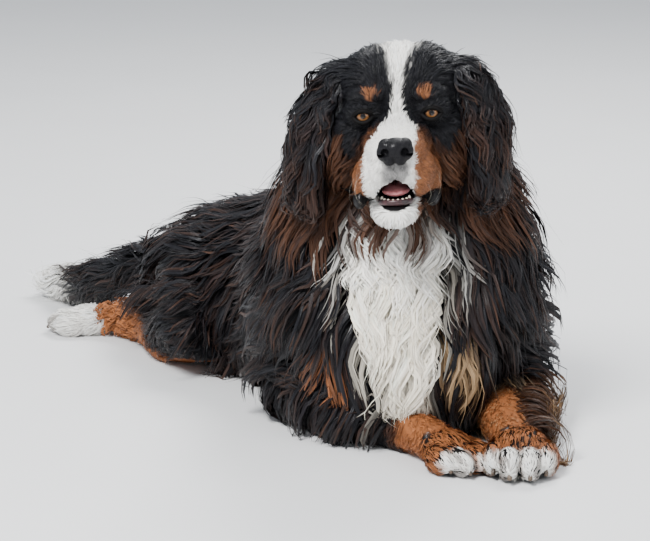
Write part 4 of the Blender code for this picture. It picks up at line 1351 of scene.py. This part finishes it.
def copy_of(obj: Body, name: str) -> Body:
    """A copy with its own mesh."""
    made = bpy.data.objects.new(name, obj.data.copy())
    bpy.context.scene.collection.objects.link(made)
    return made


@dataclass
class Flesh:
    """The bodies under the skin, by region."""

    face_voxel: float = 0.0021
    jaw_voxel: float = 0.0024
    paw_voxel: float = 0.0026
    ear_voxel: float = 0.0034
    limb_voxel: float = 0.0050
    body_voxel: float = 0.0070
    body_sides: int = 28

    def head(self) -> Body:
        """Skull, brows, cheeks, muzzle and hanging lips."""
        d = FACE_DEPTH
        forms = [Bench.ball((0, 0.074, 0.014), (0.083 - d, 0.084 - d, 0.066 - d))]
        forms += Bench.pair((0.030, 0.062, 0.022), (0.050, 0.066, 0.058), d)
        forms += Bench.pair((0.037, 0.012, 0.022), (0.029, 0.027, 0.018), 0.003)
        forms += Bench.pair((0.043, 0.012, 0.002), (0.027, 0.030, 0.022), 0.002)
        forms.append(Bench.ball((0, 0.018, 0.002), (0.026, 0.028, 0.028)))
        forms += Bench.pair((0.050, 0.045, -0.030), (0.040, 0.053, 0.046), d)
        forms += Bench.pair((0.056, 0.064, -0.062), (0.038, 0.052, 0.044), 0.008)
        forms.append(Bench.tube(MUZZLE, inset=0.003, across=ACROSS))
        forms += Bench.pair((0.029, -0.046, -0.068), (0.023, 0.046, 0.032), 0.002)
        forms += Bench.pair((0.016, -0.082, -0.056), (0.021, 0.019, 0.021), 0.002)
        forms += Bench.pair((0.038, -0.010, -0.082), (0.019, 0.036, 0.029), 0.002)
        forms += Bench.pair((0.047, -0.024, -0.104), (0.0095, 0.0190, 0.0140))
        made = Bench.fuse("flesh_head", forms, self.face_voxel, 4)
        mouth = [Bench.ball((0, -0.052, -0.089), (0.0245, 0.054, 0.020))]
        sockets = Bench.pair((EYE_CENTRE.x, EYE_CENTRE.y, 0), (EYE_RADIUS + 0.0004,) * 3)
        sockets += Bench.pair((EYE_CENTRE.x, -0.022, 0), (0.0128, 0.0200, 0.0086))
        Bench.combine(made, mouth + sockets, "DIFFERENCE")
        return Bench.settle(made, HEAD)

    def jaw(self) -> Body:
        """The lower jaw and chin, hollowed for the tongue."""
        made = Bench.fuse("flesh_jaw", [Bench.tube(JAW, inset=0.003, across=ACROSS)], self.jaw_voxel, 3)
        hollow = Bench.ball((0, -0.040, -0.093), (0.0225, 0.046, 0.0135))
        Bench.combine(made, [hollow], "DIFFERENCE")
        return Bench.settle(made, HEAD)

    def ear(self, side: int, name: str) -> Body:
        """A hanging ear leather."""
        stations = [(side * x, y, z, wide, thick) for x, y, z, wide, thick in EAR]
        breadth = Vector((side * EAR_BREADTH.x, EAR_BREADTH.y, 0))
        made = Bench.fuse(name, [Bench.tube(stations, EAR_DEPTH, breadth)], self.ear_voxel, 3)
        return Bench.settle(made, HEAD)

    def torso(self) -> Body:
        """Brisket, ribcage, loin and rump."""
        d = BODY_DEPTH
        forms = [Bench.tube(TORSO, d, sides=self.body_sides)]
        forms.append(Bench.ball((-0.100, 0.070, 0.150), (0.100 - d, 0.110 - d, 0.160 - d)))
        forms.append(Bench.ball((0.125, 0.060, 0.150), (0.085 - d, 0.110 - d, 0.160 - d)))
        return Bench.fuse("flesh_torso", forms, self.body_voxel, 8)

    def neck(self) -> Body:
        """The neck under its ruff."""
        form = Bench.tube(NECK, BODY_DEPTH, ACROSS, self.body_sides)
        return Bench.fuse("flesh_neck", [form], self.body_voxel, 6)

    def limb(self, name: str, stations: Sequence[Station], depth: float) -> Body:
        """A leg or the tail."""
        return Bench.fuse(name, [Bench.tube(stations, depth)], self.limb_voxel, 5)

    def paw(self, name: str) -> Body:
        """A paw with four toes."""
        forms = [Bench.ball((0, 0.020, 0.024), (0.034, 0.042, 0.026))]
        forms += [Bench.ball((x, y, 0.020), (0.0140, 0.0285, 0.0185)) for x, y in TOES]
        made = Bench.fuse("flesh_" + name, forms, self.paw_voxel, 3)
        return Bench.settle(made, paw_matrix(*PAWS[name]))

    def build(self) -> dict[str, Body]:
        """Makes every region's flesh."""
        made = {"head": self.head(), "jaw": self.jaw()}
        for side, name in ((1, "ear_left"), (-1, "ear_right")):
            made[name] = self.ear(side, "flesh_" + name)
        made["neck"] = self.neck()
        made["torso"] = self.torso()
        for name, (stations, depth) in LIMBS.items():
            made[name] = self.limb("flesh_" + name, stations, depth)
        for name in PAWS:
            made[name] = self.paw(name)
        return made


class Skin:
    """One skin over the whole dog, with the coat's markings."""

    # Bodies that are united coarsely, as they lie deep in the coat
    DEEP = ("neck", "torso", "hindleg_left", "hindleg_right")
    VOXEL = 0.0085
    FLOOR = 0.0005
    # The skin's colour is this much of the coat's over it
    SHADE = 0.8
    # Share of moisture on the lids and on the lips
    LID_SHINE = 0.10
    LIP_SHINE = 0.50
    MARKINGS = {
        "head": Markings.head,
        "jaw": Markings.head,
        "ear": Markings.ear,
        "neck": Markings.body,
        "torso": Markings.body,
        "foreleg": Markings.foreleg,
        "hindleg": Markings.hindleg,
        "tail": Markings.tail,
        "forepaw": Markings.paw,
        "hindpaw": Markings.paw,
    }

    def __init__(self, regions: dict[str, Body]) -> None:
        """Holds the flesh of each region."""
        self.regions = regions

    def build(self) -> Body:
        """Unites the flesh and paints it.

        Returns:
            The skin.
        """
        body = Bench.fuse("skin", [copy_of(self.regions[n], n) for n in self.DEEP], self.VOXEL, 3)
        rest = [copy_of(region, n + "_copy") for n, region in self.regions.items() if n not in self.DEEP]
        skin = Bench.combine(body, rest, "UNION")
        count = count_triangles(skin)
        if count > Coat.MOST_TRIANGLES:
            skin.modifiers.new("Decimate", "DECIMATE").ratio = Coat.MOST_TRIANGLES / count
            Bench.finish(skin)
        spots = rows_of(skin.data.vertices, "co")
        spots[:, 2] = np.maximum(spots[:, 2], self.FLOOR)
        skin.data.vertices.foreach_set("co", spots.ravel())
        skin.data.update()
        gaps = np.full(len(spots), np.inf)
        colours = np.zeros((len(spots), 3))
        for name, region in self.regions.items():
            kind = next(k for k in self.MARKINGS if name.startswith(k))
            near = self.reach(tree_of(region), spots)
            closer = near < gaps
            gaps = np.where(closer, near, gaps)
            colours = np.where(closer[:, None], self.MARKINGS[kind](spots), colours)
        wet = self.wet(spots)
        inside = smooth(0.0265, 0.0235, np.abs(in_head(spots)[:, 0])) * wet
        colours = blend(colours * self.SHADE, Palette.LIP, np.maximum(wet, inside))
        paint(skin, "tint", np.clip(colours, 0.002, 0.9))
        layer = skin.data.attributes.new("wet", "FLOAT", "POINT")
        shine = wet * np.where(in_head(spots)[:, 2] > -0.04, self.LID_SHINE, self.LIP_SHINE)
        layer.data.foreach_set("value", shine.astype(np.float32))
        Bench.dress(skin, SkinFinish().build())
        log.info("skin: %d triangles", count_triangles(skin))
        return skin

    @staticmethod
    def reach(tree: BVHTree, spots: Array) -> Array:
        """Distances from spots to a body, or a great one where it isn't near."""
        gaps = np.full(len(spots), 9.0)
        for i, spot in enumerate(spots):
            found = tree.find_nearest(spot, 0.02)
            if found[0] is not None:
                gaps[i] = found[3]
        return gaps

    @staticmethod
    def wet(spots: Array) -> Array:
        """Where lips and lids are bare and wet."""
        p = in_head(spots)
        x, y, z = p.T
        eye = oval((np.abs(x), EYE_CENTRE.x, 0.0160), (z, 0, 0.0118))
        lids = smooth(1.15, 0.85, eye) * (y < 0.004)
        mouth = oval((x, 0, 0.0285), (y, -0.050, 0.060), (z, -0.0915, 0.0225))
        return np.maximum(np.maximum(lids, smooth(1.20, 0.95, mouth)), Skin.corners(p))

    @staticmethod
    def corners(p: Array) -> Array:
        """Share of hanging lip at the corners of the mouth, at places in the head."""
        x, y, z = p.T
        beside = smooth(0.031, 0.035, np.abs(x))
        return smooth(-0.094, -0.099, z) * beside * smooth(0.006, 0.000, y)


class Eyes:
    """Both eyes, looking ahead and a little up, and their lids."""

    GAZE = Vector((-0.02, -1.0, 0.10)).normalized()
    CLEARANCE = 0.0005
    UPPER_RISE = 0.0078
    LOWER_FALL = 0.0076

    def eye(self, side: int, name: str) -> Body:
        """An eyeball with a raised cornea."""
        bpy.ops.object.select_all(action="DESELECT")
        bpy.ops.mesh.primitive_uv_sphere_add(segments=48, ring_count=32, radius=1)
        obj = bpy.context.active_object
        obj.name = obj.data.name = name
        spots = rows_of(obj.data.vertices, "co")
        bulge = 1 + 0.045 * np.exp(-((np.hypot(spots[:, 0], spots[:, 1]) / 0.45) ** 2)) * (spots[:, 2] > 0)
        obj.data.vertices.foreach_set("co", (spots * bulge[:, None] * (EYE_RADIUS - self.CLEARANCE)).ravel())
        layer = obj.data.attributes.new("gaze", "FLOAT_VECTOR", "POINT")
        layer.data.foreach_set("vector", spots.astype(np.float32).ravel())
        turn = self.GAZE.to_track_quat("Z", "Y").to_matrix().to_4x4()
        centre = HEAD @ Vector((side * EYE_CENTRE.x, EYE_CENTRE.y, EYE_CENTRE.z))
        return Bench.settle(obj, Matrix.Translation(centre) @ turn)

    def lid(self, side: int, lift: int) -> Body:
        """One lid: an arc over the eyeball, thinning to its ends."""
        stations = []
        reach = EYE_RADIUS + LID_THICK * 0.7
        for k in range(13):
            turn = math.radians(-70 + 140 * k / 12)
            thick = LID_THICK * (0.32 + 0.36 * math.cos(turn * 1.1))
            x = reach * math.sin(turn)
            z = lift * (self.UPPER_RISE if lift > 0 else self.LOWER_FALL) * math.cos(turn * 1.28)
            y = -math.sqrt(max(reach**2 - x**2 - z**2, 0))
            place = (side * (EYE_CENTRE.x + x), EYE_CENTRE.y + y, EYE_CENTRE.z + z)
            stations.append((*place, thick, thick * 1.1))
        return Bench.tube(stations, sides=10)

    def build(self) -> list[Body]:
        """Makes the eyes and lids."""
        material = EyeFinish().build()
        made = []
        for side, name in ((-1, "eye_right"), (1, "eye_left")):
            eye = self.eye(side, name + "_ball")
            Bench.dress(eye, material)
            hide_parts(name)
            made.append(eye)
        arcs = [self.lid(side, lift) for side in (-1, 1) for lift in (-1, 1)]
        lids = Bench.settle(Bench.join("eyelids", arcs), HEAD)
        Bench.dress(lids, LID_RIM.build())
        return made + [lids]


class Nose:
    """The nose leather with its nostrils."""

    VOXEL = 0.0011

    def build(self) -> Body:
        """Makes the nose."""
        forms = [Bench.ball((0, -0.100, -0.027), (0.0195, 0.0158, 0.0150))]
        forms += Bench.pair((0.0120, -0.099, -0.022), (0.0098, 0.0125, 0.0092))
        forms += Bench.pair((0.0132, -0.101, -0.030), (0.0105, 0.0130, 0.0120))
        forms += Bench.pair((0.0070, -0.100, -0.038), (0.0090, 0.0125, 0.0100))
        made = Bench.fuse("nose_tip", forms, self.VOXEL, 3)
        cuts = []
        for side in (-1, 1):
            cuts.append(Bench.ball((side * 0.0126, -0.1155, -0.0292), (0.0056, 0.0110, 0.0062)))
            slit = (side * 0.0195, -0.1090, -0.0330)
            cuts.append(Bench.ball(slit, (0.0065, 0.0085, 0.0022), turn=side * 0.5))
        cuts.append(Bench.ball((0, -0.1175, -0.042), (0.0010, 0.0040, 0.0120), detail=(12, 8)))
        Bench.combine(made, cuts, "DIFFERENCE")
        soften = made.modifiers.new("Smooth", "SMOOTH")
        soften.factor = 0.4
        soften.iterations = 2
        Bench.dress(Bench.settle(Bench.finish(made), HEAD), NoseFinish().build())
        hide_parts("nose")
        return made


class Mouth:
    """Tongue, lower gum and teeth."""

    VOXEL = 0.0011
    TOOTH_HEIGHTS = (0.0052, 0.0032, 0.0028, 0.0026, 0.0026, 0.0028, 0.0032, 0.0052)

    @staticmethod
    def arch(turn: float, height: float) -> Vector:
        """A place on the lower dental arch."""
        return Vector((0.0190 * math.sin(turn), -0.059 - 0.0145 * math.cos(turn), height))

    def tongue(self) -> Body:
        """The tongue, grooved along its middle."""
        form = Bench.ball((0, -0.038, -0.0900), (0.0190, 0.034, 0.0085))
        made = Bench.fuse("tongue_body", [form], self.VOXEL, 3)
        groove = Bench.ball((0, -0.044, -0.0808), (0.0016, 0.030, 0.0024))
        Bench.combine(made, [groove], "DIFFERENCE")
        made.modifiers.new("Smooth", "SMOOTH").iterations = 3
        Bench.dress(Bench.settle(Bench.finish(made), HEAD), TONGUE.build())
        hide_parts("tongue")
        return made

    def teeth(self) -> Body:
        """Six incisors and two canines."""
        forms = []
        for k, height in enumerate(self.TOOTH_HEIGHTS):
            spot = self.arch(math.radians(-66 + 132 * k / 7), -0.0990)
            forms.append(Bench.ball(spot, (0.0021, 0.0019, height), (14, 10)))
        made = Bench.join("teeth_row", forms)
        Bench.dress(Bench.settle(made, HEAD), ENAMEL.build())
        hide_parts("lower_teeth")
        return made

    def gum(self) -> Body:
        """The gum that the teeth stand in."""
        line = [self.arch(math.radians(-95 + 190 * k / 14), -0.1012) for k in range(15)]
        made = Bench.tube([(*spot, 0.0036, 0.0042) for spot in line], sides=12)
        made.name = made.data.name = "gum"
        Bench.dress(Bench.settle(made, HEAD), GUM.build())
        return made

    def build(self) -> list[Body]:
        """Makes the mouth's pieces."""
        return [self.tongue(), self.teeth(), self.gum()]


class Claws:
    """The claws of all four paws."""

    # A claw's line: distance ahead of the toe, height, half width and half height
    LINE = (
        (0.014, 0.0190, 0.0038, 0.0046),
        (0.022, 0.0170, 0.0034, 0.0042),
        (0.028, 0.0130, 0.0026, 0.0032),
        (0.032, 0.0075, 0.0008, 0.0010),
    )

    def build(self) -> Body:
        """Makes the claws as one piece."""
        arcs = []
        for place in PAWS.values():
            for x, y in TOES:
                line = [(x, y - ahead, height, wide, high) for ahead, height, wide, high in self.LINE]
                claw = Bench.tube(line, sides=10)
                claw.modifiers.new("Round", "SUBSURF").levels = 1
                arcs.append(Bench.settle(Bench.finish(claw), paw_matrix(*place)))
        made = Bench.join("claws", arcs)
        Bench.dress(made, CLAW_HORN.build())
        return made


class Dog:
    """The whole animal."""

    SEED = 20
    # Nodes that the skin stands for
    COVERED = ("head", "jaw", "ear_left", "ear_right", "neck", "torso", "foreleg_left", "foreleg_right",
               "hindleg_left", "hindleg_right", "forepaw_left", "forepaw_right", "hindpaw_left",
               "hindpaw_right", "tail", "rump")
    RIBS_MIDDLE = 0.13
    LEG_SHORTEST = 0.014

    def __init__(self) -> None:
        """Starts with no pieces."""
        self.pieces: list[Body] = []

    @staticmethod
    def face_open(points: Array, normals: Array) -> Array:
        """Roots on the head that aren't on lids, lips, mouth or nose."""
        p = in_head(points)
        x, y, z = p.T
        eye = oval((np.abs(x), EYE_CENTRE.x, 0.0138), (z, 0, 0.0092))
        clear = (eye > 1) | (y > 0.004)
        clear &= oval((x, 0, 0.0270), (y, -0.050, 0.0590), (z, -0.0915, 0.0215)) > 1
        clear &= Skin.corners(p) < 0.5
        nose = oval((x, 0, 0.0235), (z, -0.029, 0.0165))
        return clear & ((nose > 1) | (y > -0.088))

    @staticmethod
    def beside_crown(p: Array) -> Array:
        """Share of the long hair at the sides of the skull, at places in the head."""
        x, y, z = p.T
        high = smooth(0.036, 0.062, np.abs(x)) * smooth(0.010, 0.040, z)
        return high * smooth(-0.010, 0.035, y)

    @staticmethod
    def face_length(points: Array) -> Array:
        """Hair length over the head, from the nose to the rear of the cheeks."""
        p = in_head(points)
        x, y, z = p.T
        muzzle = smooth(-0.030, -0.070, y)
        length = 0.0135 - 0.0085 * muzzle
        length += 0.006 * smooth(0.026, 0.036, np.abs(x)) * smooth(-0.045, -0.065, z) * muzzle
        eye = np.exp(-((np.hypot(np.abs(x) - EYE_CENTRE.x, z) / 0.016) ** 2)) * (y < 0.02)
        length *= 1 - 0.6 * eye
        length += 0.040 * Dog.beside_crown(p)
        length += 0.055 * smooth(0.020, 0.075, y) * smooth(-0.010, -0.060, z)
        return length + 0.018 * smooth(0.035, 0.075, z)

    @staticmethod
    def face_depth(points: Array) -> Array:
        """Height of the hair's tips over the head's skin."""
        p = in_head(points)
        _, y, z = p.T
        depth = 0.0030 - 0.0016 * smooth(-0.010, -0.050, y)
        depth += 0.004 * Dog.beside_crown(p)
        depth += 0.010 * smooth(0.020, 0.075, y) * smooth(-0.010, -0.060, z)
        return depth + 0.003 * smooth(0.045, 0.075, z)

    def growths(self) -> list[Growth]:
        """The hair of every region."""
        flat = {"flatness": 0.25, "roll": 0.15, "wisps": 0.03}
        bodily = {"spacing": 0.024, "rings": 7, "wave": 0.010, "waves": 1.1, "clump": 0.66, "wisps": 0.35,
                  "flatness": 0.24, "roll": 0.22}
        curly = dict(bodily, spacing=0.022, rings=8, wave=0.0095, waves=1.4, flatness=0.20, roll=0.15)
        facial = {"lie": Lie.head, "markings": Markings.head, "length": self.face_length,
                  "depth": self.face_depth, "width": self.face_width, "line": MUZZLE, "region": "head"}
        dark = dict(bodily, lie=Lie.body, markings=Markings.body, depth=same(BODY_DEPTH - 0.002), line=TORSO,
                    width=same(0.0072), tips=Tips.RUSSET, region="torso")
        white = dict(curly, lie=Lie.bib, markings=Markings.body, length=same(0.090),
                     depth=same(BODY_DEPTH - 0.004), density=66000, width=same(0.0054), keep=self.on_bib)
        made = [
            Growth("face", spacing=0.0075, density=300000, rings=3, wave=0.0016, waves=0.8, clump=0.25,
                   keep=self.on_face, **facial, **flat),
            Growth("crown", spacing=0.0090, density=84000, rings=5, wave=0.0030, waves=0.9, clump=0.35,
                   keep=self.on_crown, flatness=0.3, wisps=0.25, **facial),
            Growth("cheeks", Lie.cheek, Markings.cheek, same(0.055), same(0.016), density=60000,
                   width=same(0.0034), keep=self.on_cheek, line=MUZZLE, region="head", tips=Tips.RUSSET,
                   **dict(bodily, spacing=0.013, wave=0.003, rings=6)),
            Growth("jaw", Lie.head, Markings.head, same(0.012), same(0.0025), spacing=0.007, density=130000,
                   width=same(0.0016), rings=3, wave=0.0008, waves=0.7, clump=0.2, keep=self.face_open,
                   line=JAW, **flat),
            Growth("neck", Lie.neck, Markings.body, self.neck_length, self.neck_depth, density=31000,
                   width=same(0.0072), keep=self.off_bib, line=NECK, tips=Tips.RUSSET, **bodily),
            Growth("chest", length=same(0.115), density=21000, keep=self.on_chest, **dark),
            Growth("back", length=same(0.105), density=19000, keep=self.on_back,
                   **dict(dark, width=same(0.0070))),
            Growth("bib_neck", line=NECK, region="neck", **white),
            Growth("bib_torso", line=TORSO, region="torso", **white),
            Growth("tail", Lie.tail, Markings.tail, same(0.095), same(TAIL_DEPTH), density=42000,
                   width=same(0.0050), keep=anywhere, line=TAIL, tips=Tips.RUSSET, **bodily),
            Growth("whiskers", Lie.cheek, plain(Palette.CREAM * 0.7), same(0.055), same(0.016),
                   spacing=0.0050, density=3200, width=same(0.0004), rings=6, wave=0.0, waves=0.6, clump=0.0,
                   keep=self.on_whiskers, line=MUZZLE, region="head", wisps=0.0),
        ]
        for name in ("ear_left", "ear_right"):
            made.append(Growth(name, Lie.ear, Markings.ear, self.ear_length, self.ear_depth, density=75000,
                               width=same(0.0040), keep=anywhere, line=EAR, tips=Tips.RUSSET,
                               **dict(bodily, spacing=0.016, wave=0.009, waves=1.3)))
        for name, tips in (("foreleg_left", Tips.STRAW), ("foreleg_right", Tips.RUSSET)):
            made.append(Growth(name, Lie.foreleg, Markings.foreleg, self.foreleg_length, self.foreleg_depth,
                               density=62000, width=self.foreleg_width, keep=anywhere, line=LIMBS[name][0],
                               tips=tips, **dict(bodily, spacing=0.011, wave=0.003, rings=4, clump=0.4)))
        made.append(Growth("feather_left", Lie.feather, plain(Palette.BROWN * 0.8), same(0.060), same(0.042),
                           density=40000, width=same(0.0036), keep=self.on_forearm, line=FORELEG_LEFT,
                           tips=Tips.STRAW, region="foreleg_left",
                           **dict(bodily, spacing=0.014, wave=0.008, wisps=0.4)))
        for name in ("hindleg_left", "hindleg_right"):
            made.append(Growth(name, Lie.hindleg, Markings.hindleg, self.hindleg_length, same(LEG_DEPTH),
                               density=36000, width=same(0.0042), keep=anywhere, line=LIMBS[name][0],
                               tips=Tips.RUSSET,
                               **dict(bodily, spacing=0.014, wave=0.004, rings=4, clump=0.5)))
        for name, (x, y, _, _) in PAWS.items():
            line = [(x, y + k * 0.03, 0.02, 0.01, 0.01) for k in (-1, 0, 1)]
            made.append(Growth(name, Lie.paw, Markings.paw, same(0.015), same(0.0036), spacing=0.010,
                               density=120000, width=same(0.0018), rings=3, wave=0.0012, waves=0.7,
                               clump=0.20, keep=anywhere, line=line, **flat))
        for tile, growth in enumerate(made):
            growth.tile = tile
        return made

    @staticmethod
    def on_face(points: Array, normals: Array) -> Array:
        """Roots of the short hair, from the nose to behind the eyes."""
        return Dog.face_open(points, normals) & (in_head(points)[:, 1] < 0.050)

    @staticmethod
    def on_crown(points: Array, normals: Array) -> Array:
        """Roots on the head behind the face."""
        return Dog.face_open(points, normals) & (in_head(points)[:, 1] >= 0.040)

    @staticmethod
    def on_cheek(points: Array, normals: Array) -> Array:
        """Roots of the long hair below and behind the cheeks."""
        x, y, z = in_head(points).T
        back = (y > 0.005) & (y < 0.085)
        return back & (np.abs(x) > 0.050) & (z < -0.020)

    @staticmethod
    def neck_length(points: Array) -> Array:
        """Short at the throat, long below it and at the sides."""
        x, y, z = points.T
        throat = smooth(0.33, 0.37, z) * smooth(0.0, -0.04, y)
        return 0.120 - 0.060 * throat * smooth(0.07, 0.04, np.abs(x))

    @staticmethod
    def neck_depth(points: Array) -> Array:
        """Standing out farthest in the ruff at the sides."""
        return BODY_DEPTH + 0.014 * smooth(0.05, 0.09, np.abs(points[:, 0]))

    @staticmethod
    def ear_depth(points: Array) -> Array:
        """Close at the ear's root, fuller below."""
        return EAR_DEPTH + 0.007 * smooth(0.045, -0.010, in_head(points)[:, 2])

    @staticmethod
    def on_whiskers(points: Array, normals: Array) -> Array:
        """Roots of the whiskers, beside the nose."""
        x, y, z = in_head(points).T
        level = (z < -0.050) & (z > -0.078)
        return level & (y > -0.085) & (y < -0.050) & (np.abs(x) > 0.026)

    @staticmethod
    def on_bib(points: Array, normals: Array) -> Array:
        """Roots of the white bib."""
        return (Markings.bib(points) > 0.5) & anywhere(points, normals)

    @staticmethod
    def on_forearm(points: Array, normals: Array) -> Array:
        """Roots on the outer side of the left forearm."""
        _, y, z = points.T
        beside = (y > -0.160) & (y < 0.02) & (z < 0.09)
        return beside & (normals[:, 0] > 0.35)

    @staticmethod
    def off_bib(points: Array, normals: Array) -> Array:
        """Roots beside the white bib."""
        return (Markings.bib(points) <= 0.5) & anywhere(points, normals)

    @staticmethod
    def on_chest(points: Array, normals: Array) -> Array:
        """Roots of the dark hair before the ribs' middle."""
        return Dog.off_bib(points, normals) & (points[:, 1] < Dog.RIBS_MIDDLE)

    @staticmethod
    def on_back(points: Array, normals: Array) -> Array:
        """Roots of the dark hair behind the ribs' middle."""
        return Dog.off_bib(points, normals) & (points[:, 1] >= Dog.RIBS_MIDDLE)

    @staticmethod
    def face_width(points: Array) -> Array:
        """Wider tufts where the hair of the head is longer."""
        return 0.0011 + 0.052 * (Dog.face_length(points) - 0.005)

    @staticmethod
    def ear_length(points: Array) -> Array:
        """Longer hair toward the ear's lower edge."""
        return 0.045 + 0.050 * smooth(0.03, -0.08, in_head(points)[:, 2])

    @staticmethod
    def foreleg_depth(points: Array) -> Array:
        """Tips stand off the upper leg and lie flat below."""
        return 0.0035 + 0.12 * (Dog.foreleg_length(points) - Dog.LEG_SHORTEST)

    @staticmethod
    def foreleg_length(points: Array) -> Array:
        """Long on the upper leg and behind the forearm, short in front and below."""
        x, y, _ = points.T
        rear = np.where(x > BETWEEN_FORELEGS, smooth(0.160, 0.185, x), smooth(0.02, -0.06, x))
        upper = smooth(-0.06, 0.03, y)
        low = smooth(-0.10, -0.14, y)
        return Dog.LEG_SHORTEST + 0.062 * np.maximum(rear * 0.9, upper) * (1 - low)

    @staticmethod
    def foreleg_width(points: Array) -> Array:
        """Wider tufts where the hair is longer."""
        return 0.0017 + 0.050 * (Dog.foreleg_length(points) - Dog.LEG_SHORTEST)

    @staticmethod
    def hindleg_length(points: Array) -> Array:
        """Long on the thigh, short below the hock."""
        return 0.018 + 0.060 * smooth(0.045, 0.10, points[:, 2])

    def build(self) -> None:
        """Makes every piece."""
        regions = Flesh().build()
        skin = Skin(regions).build()
        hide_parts(*self.COVERED)
        self.pieces = [skin, *Eyes().build(), Nose().build(), *Mouth().build(), Claws().build()]
        tree = tree_of(skin)
        trees = {name: tree_of(region) for name, region in regions.items()}
        hair = HairFinish().build()
        for number, growth in enumerate(self.growths()):
            home = growth.region or growth.name
            others = [t for name, t in trees.items() if name != home]
            coat = Coat(growth, regions[home], tree, others, self.SEED + number).build()
            coat.data.materials.append(hair)
            self.pieces.append(coat)
        for region in regions.values():
            bpy.data.objects.remove(region)
        for piece in self.pieces:
            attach(piece, "root")


@dataclass(frozen=True)
class Lamp:
    """A soft lamp: its place, size and power in watts."""

    name: str
    place: tuple[float, float, float]
    size: float
    power: float

    def build(self, aim: Vector) -> None:
        """Hangs the lamp, turned toward a point."""
        data = bpy.data.lights.new(self.name, "AREA")
        data.size = self.size
        data.energy = self.power
        lamp = bpy.data.objects.new(self.name, data)
        lamp.location = self.place
        lamp.rotation_euler = (aim - Vector(self.place)).to_track_quat("-Z", "Y").to_euler()
        bpy.context.scene.collection.objects.link(lamp)


@dataclass(frozen=True)
class Studio:
    """A pale floor, soft light and the photograph's view."""

    floor_size: float = 24.0
    sky: tuple[float, float, float] = (0.86, 0.92, 1.0)
    sky_strength: float = 0.75
    aim: tuple[float, float, float] = (-0.05, 0.1, 0.25)
    lamps: tuple[Lamp, ...] = (
        Lamp("key", (-1.2, -2.4, 3.0), 1.2, 290),
        Lamp("fill", (2.4, -2.2, 1.6), 2.0, 40),
        Lamp("rim", (0.6, 2.0, 2.8), 1.4, 130),
    )
    viewpoint: tuple[float, float, float] = (-0.0929, -4.0868, 1.1694)
    view_tilt: float = 77.0
    lens: float = 171.7
    sensor_width: float = 36.0

    def build(self) -> None:
        """Sets the stage."""
        self.floor()
        self.light()
        self.camera()

    def floor(self) -> None:
        """Lays the floor."""
        bpy.ops.object.select_all(action="DESELECT")
        bpy.ops.mesh.primitive_plane_add(size=self.floor_size, location=(0, 0, 0))
        floor = bpy.context.active_object
        floor.name = "floor"
        shop = Shop("floor", Roughness=0.85)
        shop.dress("Base Color", shop.mix(shop.noise(3.0), grey(0.70), grey(0.74)))
        floor.data.materials.append(shop.material)

    def light(self) -> None:
        """Lights the dog by the sky and the lamps."""
        world = bpy.context.scene.world or bpy.data.worlds.new("studio")
        bpy.context.scene.world = world
        world.use_nodes = True
        background = world.node_tree.nodes["Background"]
        background.inputs[0].default_value = (*self.sky, 1)
        background.inputs[1].default_value = self.sky_strength
        for lamp in self.lamps:
            lamp.build(Vector(self.aim))

    def camera(self) -> None:
        """Takes the photograph's view."""
        data = bpy.data.cameras.new("camera")
        data.lens = self.lens
        data.sensor_width = self.sensor_width
        eye = bpy.data.objects.new("camera", data)
        eye.location = self.viewpoint
        eye.rotation_euler = (math.radians(self.view_tilt), 0, 0)
        bpy.context.scene.collection.objects.link(eye)
        bpy.context.scene.camera = eye


def main() -> None:
    """Builds the dog on its frame and sets the stage."""
    logging.basicConfig(level=logging.INFO, format="%(message)s")
    cube = bpy.data.objects.get("Cube")
    if cube is not None:
        bpy.data.objects.remove(cube)
    Studio().build()
    dog = Dog()
    dog.build()
    log.info("%d pieces", len(dog.pieces))


if __name__ == "__main__":
    main()
